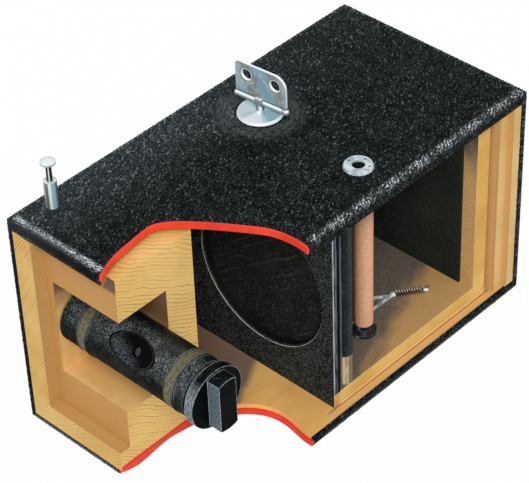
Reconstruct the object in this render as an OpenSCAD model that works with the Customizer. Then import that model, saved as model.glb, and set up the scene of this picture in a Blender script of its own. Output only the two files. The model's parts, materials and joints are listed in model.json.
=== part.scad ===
// Sectioned display model of an early box roll-film camera.
// Millimetres, +Z up, front towards -Y, cut-away side towards +X.
// The origin is at the centre of the underside of the case.

/* [Case] */
// Length of the case, front to back
case_l = 165; // [160:1:180]
// Width of the case, side to side
case_w = 84; // [82:1:92]
// Height of the case
case_h = 88; // [86:1:96]
// Thickness of the leather covering
leather_t = 2.4; // [2:0.1:2.8]
// Radius of the leather-covered edges of the top
edge_r = 0.9; // [0.6:0.1:2.2]
// Radius of the leather's upright and lower edges
fold_r = 0.6; // [0.4:0.1:1]
// Thickness of the top, bottom and side boards
board_t = 1.8; // [1.5:0.1:2.4]
// Thickness of the turned-over lip of the leather
lip_t = 1.2; // [0.8:0.1:1.6]
// How far the top lip hangs below the underside of the top leather
lip_drop = 1.8; // [0.8:0.1:1.8]
// How far the bottom lip rises above the inside of the bottom leather
lip_rise = 0.8; // [0.5:0.1:1.4]

/* [Back] */
// Thickness of the outer back board
back_outer_t = 5.1; // [4:0.1:7.2]
// Thickness of the inner back board
back_inner_t = 5.5; // [3:0.1:6.5]
// How far the inner back board stops short of the open side
back_step = 2.1; // [1:0.1:3]

/* [Section] */
// Lengthwise section through the shutter block, right of the centre
section_x = 3.5; // [2:0.5:5]
// Distance from the front to where the broken edges reach the open side
break_side = 53; // [50:1:56]
// How far the broken edge of the top bulges left of the section
break_bulge = 7.5; // [6:0.1:9]
// Width of the red-painted trim that faces the broken edges
trim_t = 0.8; // [0.5:0.1:1.2]
// How far the trim of the top hangs below the leather
trim_drop = 0.1; // [0:0.1:1.5]
// How far the broken edge of the top board stands back from the leather's
board_setback = 1.5; // [0.6:0.1:2]

/* [Front frame and shutter block] */
// Thickness of the mitred front stile and sill
frame_t = 8.2; // [7:0.1:9]
// Height of the front header under the top leather
header_h = 3.6; // [3:0.1:4.5]
// Distance from the front of the case to the face of the shutter block
block_inset = 4.6; // [4:0.1:6]
// Depth of the shutter block, front to back
block_d = 34.1; // [32:0.1:36]
// Thickness of the left cheek of the block's pocket
block_cheek = 3.5; // [3:0.1:5]
// Height of the pocket
pocket_h = 40; // [36:1:44]

/* [Shutter barrel] */
// Optical axis, right of the case's centre
axis_x = 5; // [4:0.5:6]
// Optical axis, above the middle of the case's height
axis_up = 2; // [0:0.5:4]
// Diameter of the barrel
barrel_d = 20.8; // [20:0.1:21]
// Gap between the barrel's left end and the side of the pocket
barrel_end_gap = 1; // [0.5:0.1:2]
// Gap between the barrel and the back wall of the pocket
barrel_gap = 0.3; // [0.3:0.05:0.8]
// How far the end of the knob stands back from the open side
knob_inset = 1.1; // [0.5:0.1:3]
// Width of each brass band
band_w = 3.1; // [2.4:0.1:5]
// Distance from the barrel's left end to the middle of the left band
band_left = 10.2; // [9:0.1:12]
// Distance from the neck of the knob to the middle of the right band
band_right = 7.1; // [6:0.1:8]
// Depth of the seats that the bands are let into
band_seat = 0.8; // [0.5:0.1:1.2]
// How far the bands stand proud of the barrel
band_proud = 0.15; // [0.05:0.05:0.3]
// Angle of the lens above the level forward direction, at rest
lens_turn = 43.5; // [30:0.5:60]
// Radius of the conical lens opening at the barrel's surface
cone_r = 9.6; // [7:0.1:9.8]
// Depth of the conical lens opening
cone_depth = 2.5; // [2.2:0.1:3.6]
// Diameter of the stop at the bottom of the cone
stop_d = 3.8; // [2.5:0.1:4.2]
// Diameter of the lens
lens_d = 8; // [6:0.1:9]
// Thickness of the lens at its middle
lens_t = 2.6; // [2:0.1:3]
// Radius of curvature of both faces of the lens
lens_curve = 12; // [10:0.5:20]
// Length of the ring that holds the lens
lens_ring_l = 2; // [1.5:0.1:3]
// Diameter of the steel trunnion at the barrel's left end
trunnion_d = 3; // [2.6:0.1:3.4]
// Diameter of the groove of the string drum
drum_d = 4.4; // [4:0.1:5]
// Height of the string drum's rims above its groove
drum_rim = 1.2; // [0.8:0.1:1.6]
// Width of the string drum
drum_w = 4.4; // [3.6:0.1:4.8]

/* [Shutter knob] */
// Diameter of the knob's disc
knob_d = 22.8; // [22:0.1:25]
// Thickness of the knob's disc
knob_t = 3.4; // [2.5:0.1:3.6]
// Width of the neck groove between the barrel and the knob
neck_w = 1.7; // [1:0.1:2]
// Depth of the neck groove
neck_depth = 0.9; // [0.5:0.1:1.5]
// Thickness of the knob's grip bar
grip_t = 7.6; // [4:0.1:8.4]
// How far the grip bar stands out of the disc
grip_out = 5.2; // [4:0.1:5.4]
// Length of the grip bar
grip_l = 20.6; // [18:0.1:21.6]
// Diameter of the knob's spigot in the barrel
spigot_d = 9; // [7:0.1:10]
// Length of the knob's spigot in the barrel
spigot_l = 8; // [6:0.1:9]

/* [Shutter pull] */
// Distance of the pull from the left side of the case
pull_inset = 6.6; // [6.4:0.1:7]
// Distance of the pull's axis in front of the barrel's
pull_set = 0.8; // [0:0.1:2]
// Outer diameter of the guide sleeve
sleeve_d = 4.5; // [4.2:0.1:5]
// Height of the guide sleeve above the case
sleeve_h = 10.4; // [9:0.1:14]
// Diameter of the sleeve's spigot in the case
sleeve_spigot_d = 3.6; // [3.2:0.1:4]
// Diameter of the pull's stem
stem_d = 2; // [1.8:0.1:2.4]
// How far the stem stands out of the sleeve, at rest
stem_out = 7; // [5:0.1:8]
// Length of the stem hidden below the top of the sleeve
stem_hidden = 32; // [28:1:34]
// Diameter of the pull's head
head_d = 5.2; // [4.6:0.1:6]
// Height of the pull's head
head_h = 1.2; // [1:0.1:2]
// Diameter of the string channel in the front stile
channel_d = 2.8; // [2.6:0.1:3.2]

/* [Roll holder] */
// Thickness of the roll holder's base
base_t = 6; // [5:0.1:7]
// Thickness of the roll holder's back
holder_back_t = 6.4; // [5:0.1:9]
// Thickness of the roll holder's top
holder_top_t = 4.4; // [4:0.1:5]
// How far the roll holder stands back from the open side
holder_inset = 4; // [3.6:0.1:4.8]
// Gap between the roll holder's back and the back of the case
holder_rear_gap = 1.8; // [0.2:0.1:3]
// Length of the roll holder, from the mask's face to its back
holder_l = 81.7; // [80:0.1:86]
// Thickness of the mask
mask_t = 3.2; // [2.4:0.1:3.6]
// Least width of the mask, between its round opening and the open side
mask_margin = 5.4; // [3:0.1:7]
// Width of the bevel round the mask's opening
mask_bevel = 0.7; // [0.4:0.1:1]
// Distance from the mask to the platen, where the film runs
film_gap = 1; // [0.6:0.1:1.2]
// Thickness of the platen
platen_t = 1.4; // [1:0.1:1.6]
// Width of the platen
platen_w = 66; // [62:0.5:66]
// Thickness of the black lining on the roll holder's back
lining_t = 1; // [0.6:0.1:1.4]
// Distance from each end of the lining to the side of the roll holder
lining_inset = 6; // [4:0.1:9]

/* [Spools and rollers] */
// Distance of the winding spool's axis from the mask's face
wind_back = 27.5; // [26:0.1:30]
// Distance of the supply spool's axis from the mask's face
supply_back = 31.7; // [29:0.1:33]
// Distance of the winding spool's axis from the roll holder's left side
wind_inset = 18.4; // [17:0.1:20]
// Distance of the supply spool's axis from the roll holder's right side
supply_inset = 14.2; // [13:0.1:15]
// Diameter of the spool cores
core_d = 6.8; // [6.4:0.1:8]
// Diameter of the spool flanges
flange_d = 9.2; // [8.8:0.1:12]
// Height of each spool hub with its flange
hub_h = 4.6; // [3.6:0.1:5.4]
// Diameter of the spool pins
spool_pin_d = 2.4; // [2:0.1:2.8]
// How deep the pins stand in the roll holder's base and top
pin_depth = 3.4; // [2.5:0.1:3.8]
// How far the pin under the winding spool reaches into its core
wind_pin_l = 6; // [4:0.5:10]
// Diameter of the guide rollers
roller_d = 5.2; // [4.6:0.1:5.4]
// Distance from the mask's face to the guide rollers' axes
roller_back = 8.7; // [8.4:0.1:9.4]
// Diameter of the guide rollers' pins
roller_pin_d = 1.6; // [1.4:0.1:2]
// Height of the brass sleeves under the guide rollers
roller_sleeve_h = 12.6; // [8:0.1:16]

/* [Winding key] */
// Diameter of the key's base disc
key_disc_d = 16.4; // [14:0.1:17]
// Thickness of the key's base disc
key_disc_t = 0.9; // [0.7:0.1:1.2]
// Diameter of the key's shaft
key_shaft_d = 4; // [3.6:0.1:4.4]
// Width of the square end of the key's shaft
key_square = 2.8; // [2.4:0.1:3]
// Length of the square end of the key's shaft
key_square_l = 7; // [5:0.1:9]
// Length of the key's shaft below the case top
key_shaft_l = 20; // [18:0.5:24]
// Diameter of the post above the key's disc
key_post_d = 3; // [2.4:0.1:3.2]
// Height of the hinge rod above the case top
key_rod_h = 4.5; // [4.2:0.1:5.5]
// Diameter of the hinge rod
key_rod_d = 1.4; // [1.2:0.1:1.5]
// Outer diameter of the rolled knuckles
knuckle_d = 2.3; // [2.2:0.1:2.6]
// Diameter of the post's knuckle
post_knuckle_d = 3.2; // [2.8:0.1:3.6]
// Turn of the key about its shaft, at rest
key_turn = 5.4; // [0:0.1:12]
// Width of the key's flag
flag_w = 21.4; // [20:0.2:24]
// How far the middle of the flag stands right of the post
flag_shift = 0.8; // [0:0.1:1.4]
// Height of the key's flag above the hinge rod
flag_h = 13.7; // [13:0.1:15]
// Thickness of the key's flag
flag_t = 0.9; // [0.7:0.1:1.1]
// Radius of the flag's right corner
flag_r = 4.6; // [3.6:0.1:5.4]
// Diameter of the two holes in the flag
flag_hole_d = 4.3; // [3:0.1:4.8]
// Distance between the two holes in the flag
flag_hole_gap = 12.1; // [11:0.1:12.8]
// Height of the flag's holes above the hinge rod
flag_hole_h = 9.4; // [8:0.1:10]
// How far the middle of the two holes stands right of the post
flag_hole_shift = 0.9; // [0:0.1:1.4]

/* [Ring escutcheon] */
// Distance of the ring's centre from the open side
ring_inset = 16; // [14:0.1:18]
// Distance of the ring's centre from the front of the case
ring_front = 95.2; // [92:0.1:98]
// Outer diameter of the ring
ring_d = 10.6; // [10:0.1:12]
// Diameter of the ring's hole
ring_hole_d = 4.7; // [3.8:0.1:5]
// Thickness of the ring
ring_t = 0.8; // [0.6:0.1:1.2]
// Diameter of the ring's three screws
ring_screw_d = 0.9; // [0.7:0.1:1]
// Length of the ring's screws
ring_screw_l = 3; // [2:0.1:4]

/* [Spool brake] */
// Pivot of the brake lever, left of the supply spool's axis
brake_pivot_x = 11; // [10:0.1:12]
// Pivot of the brake lever, behind the supply spool's axis
brake_pivot_y = 12.6; // [11:0.1:14]
// Bend of the brake lever, left of the supply spool's axis
brake_bend_x = 4.7; // [4.2:0.1:5.2]
// Bend of the brake lever, behind the supply spool's axis
brake_bend_y = 20.1; // [18:0.1:22]
// Width of the brake lever's arms
brake_arm_w = 0.8; // [0.7:0.1:1.2]
// Thickness of the brake lever
brake_arm_t = 0.9; // [0.6:0.1:0.9]
// Diameter of the brake lever's pivot
brake_pin_d = 1.6; // [1.2:0.1:2]
// Coils of the brake spring
spring_turns = 10; // [6:1:12]
// Diameter of the spring's wire
spring_wire = 0.5; // [0.4:0.05:0.55]
// Outer diameter of the brake spring
spring_d = 2.5; // [2.2:0.1:2.8]
// Least gap between the coils of the brake spring
spring_gap = 0.43; // [0.42:0.01:0.5]
// Direction of the brake spring, from the open side towards the back
spring_turn = 53.3; // [48:0.1:58]
// Length of the ferrule at each end of the spring
ferrule_l = 1.6; // [1.2:0.1:2.6]
// Diameter of the ferrules
ferrule_d = 2.2; // [2.2:0.1:2.8]
// Diameter of the peg that holds the spring
peg_d = 1.4; // [1.2:0.1:2]
// How far the peg stands above its ferrule
peg_out = 0.3; // [0.2:0.1:1]

/* [Fits] */
// Radial clearance of parts that are pressed or screwed home
seat_gap = 0.02; // [0.01:0.01:0.05]
// Radial clearance of shafts that turn or slide
run_gap = 0.06; // [0.04:0.01:0.1]
// Clearance of flat faces that move past each other
side_gap = 0.2; // [0.1:0.05:0.3]
// Clearance of the roll holder in the case
holder_gap = 0.2; // [0.1:0.05:0.3]

/* [Hidden] */
$fn = 64;
overlap = 0.01;
far = 400;

// Case faces and the faces of its boards
left = -case_w / 2;
right = case_w / 2;
front = -case_l / 2;
back = case_l / 2;
in_left = left + leather_t;
in_bottom = leather_t;
in_top = case_h - leather_t;
in_back = back - leather_t;
lip_right = right - lip_t;
floor_z = in_bottom + board_t;
ceiling_z = in_top - board_t;
board_left = in_left + board_t;
back_mid = in_back - back_outer_t;
back_face = back_mid - back_inner_t;

// Front frame, block and pocket
stile_right = in_left + frame_t;
sill_top = in_bottom + frame_t;
header_z = in_top - header_h;
block_front = front + block_inset;
block_rear = block_front + block_d;
pocket_left = stile_right + block_cheek;
pocket_rear = block_front + barrel_d + 2 * barrel_gap;
axis_z = case_h / 2 + axis_up;
pocket_low = axis_z - pocket_h / 2;
pocket_high = axis_z + pocket_h / 2;

// Barrel, knob, drum and pull
barrel_y = (block_front + pocket_rear) / 2;
knob_x = right - knob_inset - grip_out;
neck_x = knob_x - knob_t;
barrel_x0 = pocket_left + barrel_end_gap;
barrel_x1 = neck_x - neck_w;
band_places = [barrel_x0 + band_left, barrel_x1 - band_right];
pull_x = left + pull_inset;
pull_y = barrel_y - pull_set;
drum_x0 = pull_x - drum_w / 2;
drum_x1 = pull_x + drum_w / 2;
drum_rim_d = drum_d + 2 * drum_rim;
drum_well_d = drum_rim_d + 2 * side_gap;
sleeve_top = case_h + sleeve_h;
head_z = sleeve_top + stem_out;
stem_z = sleeve_top - stem_hidden;
channel_z = axis_z + drum_rim_d / 2;
sleeve_spigot_z = header_z;
lens_seat = barrel_d / 2 - cone_depth - stop_d / 4;

// Roll holder, spools and rollers
holder_left = board_left + holder_gap;
holder_right = right - holder_inset;
holder_mid = (holder_left + holder_right) / 2;
holder_back = back_face - holder_rear_gap;
mask_y = holder_back - holder_l;
mask_rear = mask_y + mask_t;
mask_hole_d = 2 * (holder_right - mask_margin - axis_x);
base_top = floor_z + base_t;
holder_face = holder_back - holder_back_t;
holder_z1 = ceiling_z - holder_gap;
holder_z0 = holder_z1 - holder_top_t;
wind_y = mask_y + wind_back;
supply_y = mask_y + supply_back;
ring_at = [right - ring_inset, front + ring_front];
wind_x = holder_left + wind_inset;
supply_x = holder_right - supply_inset;
roller_y = mask_y + roller_back;
roller_right_x = holder_right - roller_d / 2;
roller_left_x = holder_left + roller_d / 2;
spool_z0 = base_top + side_gap;
spool_z1 = holder_z0 - side_gap;
pin_z0 = base_top - pin_depth;
pin_z1 = holder_z0 + pin_depth;
sleeve_z1 = base_top + roller_sleeve_h;
wind_pin_z1 = spool_z0 + hub_h + wind_pin_l;

// Winding key
key_z0 = case_h - key_shaft_l;
key_square_z = key_z0 + key_square_l;
rod_axis_z = case_h + key_rod_h;
flag_x0 = flag_shift - flag_w / 2;
flag_x1 = flag_shift + flag_w / 2;
ball_x = flag_x1 - 0.4;
seam_z = knuckle_d / 2 + 0.05;

// Brake lever and spring, in plan
brake_pivot = [supply_x - brake_pivot_x, supply_y + brake_pivot_y];
brake_bend = [supply_x - brake_bend_x, supply_y + brake_bend_y];
brake_reach = norm([brake_bend_x, brake_bend_y]);
shoe_r = flange_d / 2 + run_gap + brake_arm_w / 2;
shoe_turn = atan2(-brake_bend_y, brake_bend_x) - asin(shoe_r / brake_reach);
shoe_l = sqrt(brake_reach * brake_reach - shoe_r * shoe_r) + flange_d / 4;
shoe_at = brake_bend + shoe_l * [cos(shoe_turn), sin(shoe_turn)];
brake_z = base_top + side_gap;
spring_mean = spring_d - spring_wire;
spring_pitch = spring_wire + spring_gap;
spring_l = spring_turns * spring_pitch + 2 * spring_wire;
spring_z = base_top + spring_d / 2 + side_gap;
spring_dir = [cos(spring_turn), sin(spring_turn)];
spring_start = brake_bend + spring_dir * ferrule_l;
spring_end = spring_start + spring_dir * spring_l;
peg_at = spring_end + spring_dir * ferrule_l;

// Broken edges in plan, as Bezier curves: each point is a share of the way across to the open side,
// and of the way back along it
curve_steps = 5;
break_y = front + break_side;
bulge_x = section_x - break_bulge;
low_x = section_x - trim_t;
function top_at(u, v) = [bulge_x + u * (right - bulge_x), front + v * break_side];
function bottom_at(u, v) = [low_x + u * (right - low_x), front + v * break_side];
top_curves = [
    [top_at(0.126, 0), top_at(0.09, 0.066), top_at(0.046, 0.15), top_at(0.033, 0.245)],
    [top_at(0.033, 0.245), top_at(0.022, 0.33), top_at(0.002, 0.434), top_at(0, 0.51)],
    [top_at(0, 0.51), top_at(0, 0.56), top_at(0.04, 0.6), top_at(0.107, 0.664)],
    [top_at(0.107, 0.664), top_at(0.217, 0.753), top_at(0.435, 0.877), top_at(0.609, 0.964)],
    [top_at(0.609, 0.964), top_at(0.696, 1.006), top_at(0.783, 1.013), top_at(0.87, 1.017)],
    [top_at(0.87, 1.017), top_at(0.924, 1.019), top_at(0.978, 1.011), top_at(1.043, 0.998)]
];
bottom_curves = [
    [bottom_at(-0.059, 0), bottom_at(-0.02, 0.04), bottom_at(-0.003, 0.1), bottom_at(0, 0.15)],
    [bottom_at(0, 0.15), bottom_at(0, 0.26), bottom_at(-0.028, 0.33), bottom_at(-0.028, 0.43)],
    [bottom_at(-0.028, 0.43), bottom_at(-0.028, 0.48), bottom_at(-0.01, 0.53), bottom_at(0, 0.585)],
    [bottom_at(0, 0.585), bottom_at(0.013, 0.68), bottom_at(0.104, 0.8), bottom_at(0.214, 0.898)],
    [bottom_at(0.214, 0.898), bottom_at(0.3, 0.972), bottom_at(0.415, 1.036), bottom_at(0.567, 1.043)],
    [bottom_at(0.567, 1.043), bottom_at(0.695, 1.049), bottom_at(0.796, 1.021), bottom_at(0.898, 1.013)],
    [bottom_at(0.898, 1.013), bottom_at(0.949, 1.009), bottom_at(1, 1.011), bottom_at(1.064, 1.015)]
];

function bezier(c, t) =
    c[0] * pow(1 - t, 3) + c[1] * 3 * t * pow(1 - t, 2) + c[2] * 3 * t * t * (1 - t) + c[3] * pow(t, 3);
function outline(curves) = concat(
    [for (c = curves, i = [0:curve_steps - 1]) bezier(c, i / curve_steps)],
    [curves[len(curves) - 1][3]]
);
function reversed(pts) = [for (i = [len(pts) - 1:-1:0]) pts[i]];
function normal(pts, i) =
    let (a = pts[max(i - 1, 0)], b = pts[min(i + 1, len(pts) - 1)], d = (b - a) / norm(b - a))
    [d[1], -d[0]];
function beside(pts, gap) = [for (i = [0:len(pts) - 1]) pts[i] + normal(pts, i) * gap];
function unit(v) = v / norm(v);

// Box between two corners
module slab(x0, x1, y0, y1, z0, z1) {
    translate([x0, y0, z0])
        cube([x1 - x0, y1 - y0, z1 - z0]);
}

// Cylinder whose axis lies along X
module rod_x(x0, x1, y, z, d) {
    translate([x0, y, z])
        rotate([0, 90, 0])
            cylinder(h = x1 - x0, d = d);
}

// Cylinder whose axis lies along Z
module rod_z(x, y, z0, z1, d) {
    translate([x, y, z0])
        cylinder(h = z1 - z0, d = d);
}

// Outline given in X and Z, drawn out along Y
module prism_y(pts, y0, y1) {
    translate([0, y1, 0])
        rotate([90, 0, 0])
            linear_extrude(y1 - y0)
                polygon(pts);
}

// Outline given in Y and Z, drawn out along X
module prism_x(pts, x0, x1) {
    translate([x0, 0, 0])
        rotate([90, 0, 90])
            linear_extrude(x1 - x0)
                polygon(pts);
}

// Rectangle with round corners
module round_rect(a, b, r) {
    square([a - 2 * r, b], center = true);
    square([a, b - 2 * r], center = true);
    for (sx = [-1, 1], sy = [-1, 1])
        translate([sx * (a / 2 - r), sy * (b / 2 - r)])
            circle(r);
}

// Upright section of the covered case, with its upper corners rounder than its lower ones
module case_section(w) {
    translate([edge_r - w / 2, 0])
        square([w - 2 * edge_r, case_h]);
    translate([fold_r - w / 2, 0])
        square([w - 2 * fold_r, case_h / 2]);
    translate([-w / 2, fold_r])
        square([w, case_h - fold_r - edge_r]);
    for (s = [-1, 1]) {
        translate([s * (w / 2 - edge_r), case_h - edge_r])
            circle(edge_r);
        translate([s * (w / 2 - fold_r), fold_r])
            circle(fold_r);
    }
}

// Outer form of the covered case, with all its edges round
module case_form() {
    intersection() {
        linear_extrude(case_h)
            round_rect(case_w, case_l, fold_r);
        translate([0, case_l / 2, 0])
            rotate([90, 0, 0])
                linear_extrude(case_l)
                    case_section(case_w);
        translate([-case_w / 2, 0, 0])
            rotate([90, 0, 90])
                linear_extrude(case_w)
                    case_section(case_l);
    }
}

// Everything in front of a broken edge set back by an inset, over the full height
module broken_away(curves, inset = 0) {
    pts = beside(outline(curves), -inset);
    translate([0, 0, -far / 2])
        linear_extrude(far)
            polygon(concat(
                [[pts[0][0], front - far]],
                pts,
                [[right + far, break_y], [right + far, front - far]]
            ));
}

// Trim strip along a broken edge
module broken_trim(curves, z0, z1) {
    pts = outline(curves);
    intersection() {
        translate([0, 0, z0])
            linear_extrude(z1 - z0)
                polygon(concat(pts, reversed(beside(pts, trim_t))));
        slab(left, right, front, back, z0, z1);
    }
}

// Leather on the top, with its lips turned down at the front and the open side
module leather_top() {
    color("#2b2e2e")
        difference() {
            intersection() {
                case_form();
                union() {
                    slab(left, right, front, back, in_top, case_h);
                    slab(in_left, right, front, front + lip_t, in_top - lip_drop, in_top + overlap);
                    slab(lip_right, right, front, in_back, in_top - lip_drop, in_top + overlap);
                }
            }
            broken_away(top_curves);
            top_bores();
        }
}

// Leather on the left side
module leather_left() {
    color("#2b2e2e")
        intersection() {
            case_form();
            slab(left, in_left, front, back, 0, in_top);
        }
}

// Leather on the underside, with a lip turned up at the open side
module leather_bottom() {
    color("#2b2e2e")
        difference() {
            intersection() {
                case_form();
                union() {
                    slab(in_left, right, front, back, 0, in_bottom);
                    slab(lip_right, right, front, in_back, 0, in_bottom + lip_rise);
                }
            }
            broken_away(bottom_curves);
        }
}

// Leather on the back
module leather_back() {
    color("#2b2e2e")
        intersection() {
            case_form();
            slab(in_left, right, in_back, back, in_bottom, in_top);
        }
}

// Holes that pass through the top leather and the top board
module top_bores() {
    rod_z(pull_x, pull_y, header_z - 1, case_h + 1, sleeve_spigot_d + 2 * seat_gap);
    rod_z(wind_x, wind_y, header_z - 1, case_h + 1, key_shaft_d + 2 * run_gap);
    rod_z(ring_at[0], ring_at[1], header_z - 1, case_h + 1, ring_hole_d);
    ring_screw_places()
        translate([0, 0, case_h + ring_t - ring_screw_l])
            cylinder(h = ring_screw_l, d = ring_screw_d + 2 * seat_gap);
}

// Board under the top leather
module top_board() {
    color("#d4af6e")
        difference() {
            slab(in_left, lip_right, block_front, in_back, ceiling_z, in_top);
            broken_away(top_curves, board_setback);
            top_bores();
        }
}

// Board inside the left leather
module left_board() {
    color("#d4af6e")
        slab(in_left, board_left, block_rear, in_back, in_bottom, ceiling_z);
}

// Board on the bottom leather
module bottom_board() {
    color("#c9965a")
        difference() {
            slab(board_left, lip_right, block_rear, in_back, in_bottom, floor_z);
            broken_away(bottom_curves);
        }
}

// Outer back board, which reaches the open side
module back_board_outer() {
    color("#d2ae70")
        slab(board_left, right, back_mid, in_back, floor_z, ceiling_z);
}

// Inner back board, one step short of the open side
module back_board_inner() {
    color("#cd9b5c")
        slab(board_left, right - back_step, back_face, back_mid, floor_z, ceiling_z);
}

// Left stile of the front frame, mitred at both ends
module front_stile() {
    color("#d4af6e")
        difference() {
            union() {
                prism_y([[in_left, in_bottom], [stile_right, sill_top],
                         [stile_right, header_z], [in_left, in_top]], front, block_front);
                prism_y([[in_left, in_bottom], [stile_right, sill_top],
                         [stile_right, ceiling_z], [in_left, ceiling_z]], block_front, block_rear);
            }
            slab(left, right, front - 1, front + lip_t, in_top - lip_drop, in_top + 1);
            drum_well();
            rod_z(pull_x, pull_y, channel_z - 1, in_top + 1, channel_d);
            rod_z(pull_x, pull_y, sleeve_spigot_z, in_top + 1, sleeve_spigot_d + 2 * seat_gap);
        }
}

// Well for the string drum, with the bearing for the trunnion
module drum_well() {
    rod_x(in_left - 1, drum_x1 + side_gap, barrel_y, axis_z, drum_well_d);
    rod_x(in_left, pocket_left + 1, barrel_y, axis_z, trunnion_d + 2 * run_gap);
}

// Sill of the front frame, mitred to the stile and cut off at the section
module front_sill() {
    color("#d4af6e")
        prism_y([[in_left, in_bottom], [section_x, in_bottom], [section_x, sill_top], [stile_right, sill_top]],
                front, block_rear);
}

// Header under the top leather, mitred to the stile and broken off
module front_header() {
    color("#c58f52")
        difference() {
            prism_y([[in_left, in_top], [stile_right, header_z], [right, header_z], [right, in_top]],
                    front + lip_t, block_front);
            broken_away(top_curves);
        }
}

// Wooden block with the pocket that the shutter barrel turns in
module shutter_block() {
    color("#cf9f5e")
        difference() {
            slab(stile_right, section_x, block_front, block_rear, sill_top, ceiling_z);
            slab(pocket_left, section_x + 1, block_front - 1, pocket_rear, pocket_low, pocket_high);
            drum_well();
        }
}

// Red-painted trim on the broken edge of the top
module trim_top() {
    color("#e8452c")
        intersection() {
            broken_trim(top_curves, in_top - trim_drop, case_h);
            case_form();
        }
}

// Red-painted trim on the broken edge of the bottom
module trim_bottom() {
    color("#e8452c")
        intersection() {
            broken_trim(bottom_curves, 0, in_bottom);
            case_form();
        }
}

// Places its children on the barrel's axis at the lens, turned so that +X is the way the lens faces
module at_lens() {
    translate([axis_x, barrel_y, axis_z])
        rotate([-lens_turn, 0, 0])
            rotate([0, 0, -90])
                children();
}

// Cylinder round the line of sight, between two distances from the barrel's axis
module sight_rod(a, b, d1, d2) {
    translate([a, 0, 0])
        rotate([0, 90, 0])
            cylinder(h = b - a, d1 = d1, d2 = d2);
}

// Barrel with its conical lens opening, stop, lens seat and rear opening
module barrel() {
    barrel_r = barrel_d / 2;
    cone_bottom = barrel_r - cone_depth;
    cone_slope = (cone_r - stop_d / 2) / cone_depth;
    color("#3a3e3d")
        difference() {
            rod_x(barrel_x0, barrel_x1, barrel_y, axis_z, barrel_d);
            band_seats();
            at_lens() {
                sight_rod(cone_bottom, barrel_r + 1, stop_d, 2 * (cone_r + cone_slope));
                sight_rod(lens_seat - 1, cone_bottom + overlap, stop_d, stop_d);
                sight_rod(-barrel_r - 1, lens_seat, lens_d + 2 * seat_gap, lens_d + 2 * seat_gap);
            }
            rod_x(barrel_x1 - spigot_l, barrel_x1 + 1, barrel_y, axis_z, spigot_d + 2 * seat_gap);
            rod_x(barrel_x0 - 1, barrel_x0 + block_cheek * 2, barrel_y, axis_z, trunnion_d + 2 * seat_gap);
        }
}

// Shallow seats round the barrel for the bands
module band_seats() {
    for (x = band_places)
        difference() {
            rod_x(x - band_w / 2, x + band_w / 2, barrel_y, axis_z, barrel_d + 2);
            rod_x(x - band_w, x + band_w, barrel_y, axis_z, barrel_d - 2 * band_seat);
        }
}

// Two brass bands let into the barrel
module barrel_bands() {
    color("#5f5a48")
        for (x = band_places)
            difference() {
                rod_x(x - band_w / 2, x + band_w / 2, barrel_y, axis_z, barrel_d + 2 * band_proud);
                rod_x(x - band_w, x + band_w, barrel_y, axis_z, barrel_d - 2 * band_seat);
            }
}

// Double-convex lens seated behind the stop, made of two halves that meet at its middle
module lens() {
    color("#b9d2d8")
        at_lens()
            translate([lens_seat - lens_t / 2, 0, 0])
                for (s = [-1, 1])
                    rotate([0, s * 90, 0])
                        intersection() {
                            cylinder(h = lens_t, d = lens_d);
                            translate([0, 0, lens_t / 2 - lens_curve])
                                sphere(lens_curve);
                        }
}

// Ring that holds the lens in its seat
module lens_ring() {
    color("#8c7a4a")
        at_lens()
            difference() {
                sight_rod(lens_seat - lens_t - lens_ring_l, lens_seat - lens_t + 0.3, lens_d, lens_d);
                sight_rod(lens_seat - lens_t - lens_ring_l - 1, lens_seat, lens_d - 2, lens_d - 2);
                translate([lens_seat - lens_t / 2 + lens_curve - lens_t / 2, 0, 0])
                    sphere(lens_curve + seat_gap);
            }
}

// Trunnion that the barrel turns on
module trunnion() {
    color("#8d9496")
        rod_x(drum_x0, barrel_x0 + block_cheek * 2, barrel_y, axis_z, trunnion_d);
}

// Grooved drum on the trunnion, which the pull turns
module string_drum() {
    color("#b0935a")
        translate([drum_x0, barrel_y, axis_z])
            rotate([0, 90, 0])
                rotate_extrude()
                    polygon([
                        [trunnion_d / 2 + seat_gap, 0],
                        [drum_rim_d / 2, 0],
                        [drum_rim_d / 2, drum_w / 5],
                        [drum_d / 2, drum_w * 2 / 5],
                        [drum_d / 2, drum_w * 3 / 5],
                        [drum_rim_d / 2, drum_w * 4 / 5],
                        [drum_rim_d / 2, drum_w],
                        [trunnion_d / 2 + seat_gap, drum_w]
                    ]);
}

// Knob at the barrel's right end: neck, disc and grip bar with round ends
module shutter_knob() {
    color("#2e3231") {
        rod_x(barrel_x1 - spigot_l, barrel_x1 + overlap, barrel_y, axis_z, spigot_d);
        rod_x(barrel_x1, neck_x + overlap, barrel_y, axis_z, barrel_d - 2 * neck_depth);
        rod_x(neck_x, knob_x, barrel_y, axis_z, knob_d);
        intersection() {
            slab(knob_x - overlap, knob_x + grip_out, barrel_y - grip_t / 2, barrel_y + grip_t / 2, 0, case_h);
            rod_x(knob_x - 1, knob_x + grip_out, barrel_y, axis_z, grip_l);
        }
    }
}

// Guide sleeve of the shutter pull
module pull_sleeve() {
    color("#a9b4ba")
        difference() {
            union() {
                rod_z(pull_x, pull_y, sleeve_spigot_z, case_h + overlap, sleeve_spigot_d);
                rod_z(pull_x, pull_y, case_h, sleeve_top, sleeve_d);
            }
            rod_z(pull_x, pull_y, sleeve_spigot_z - 1, sleeve_top + 1, stem_d + 2 * run_gap);
        }
}

// Stem of the shutter pull
module pull_stem() {
    color("#b9c2c6")
        rod_z(pull_x, pull_y, stem_z, head_z + head_h / 2, stem_d);
}

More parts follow.
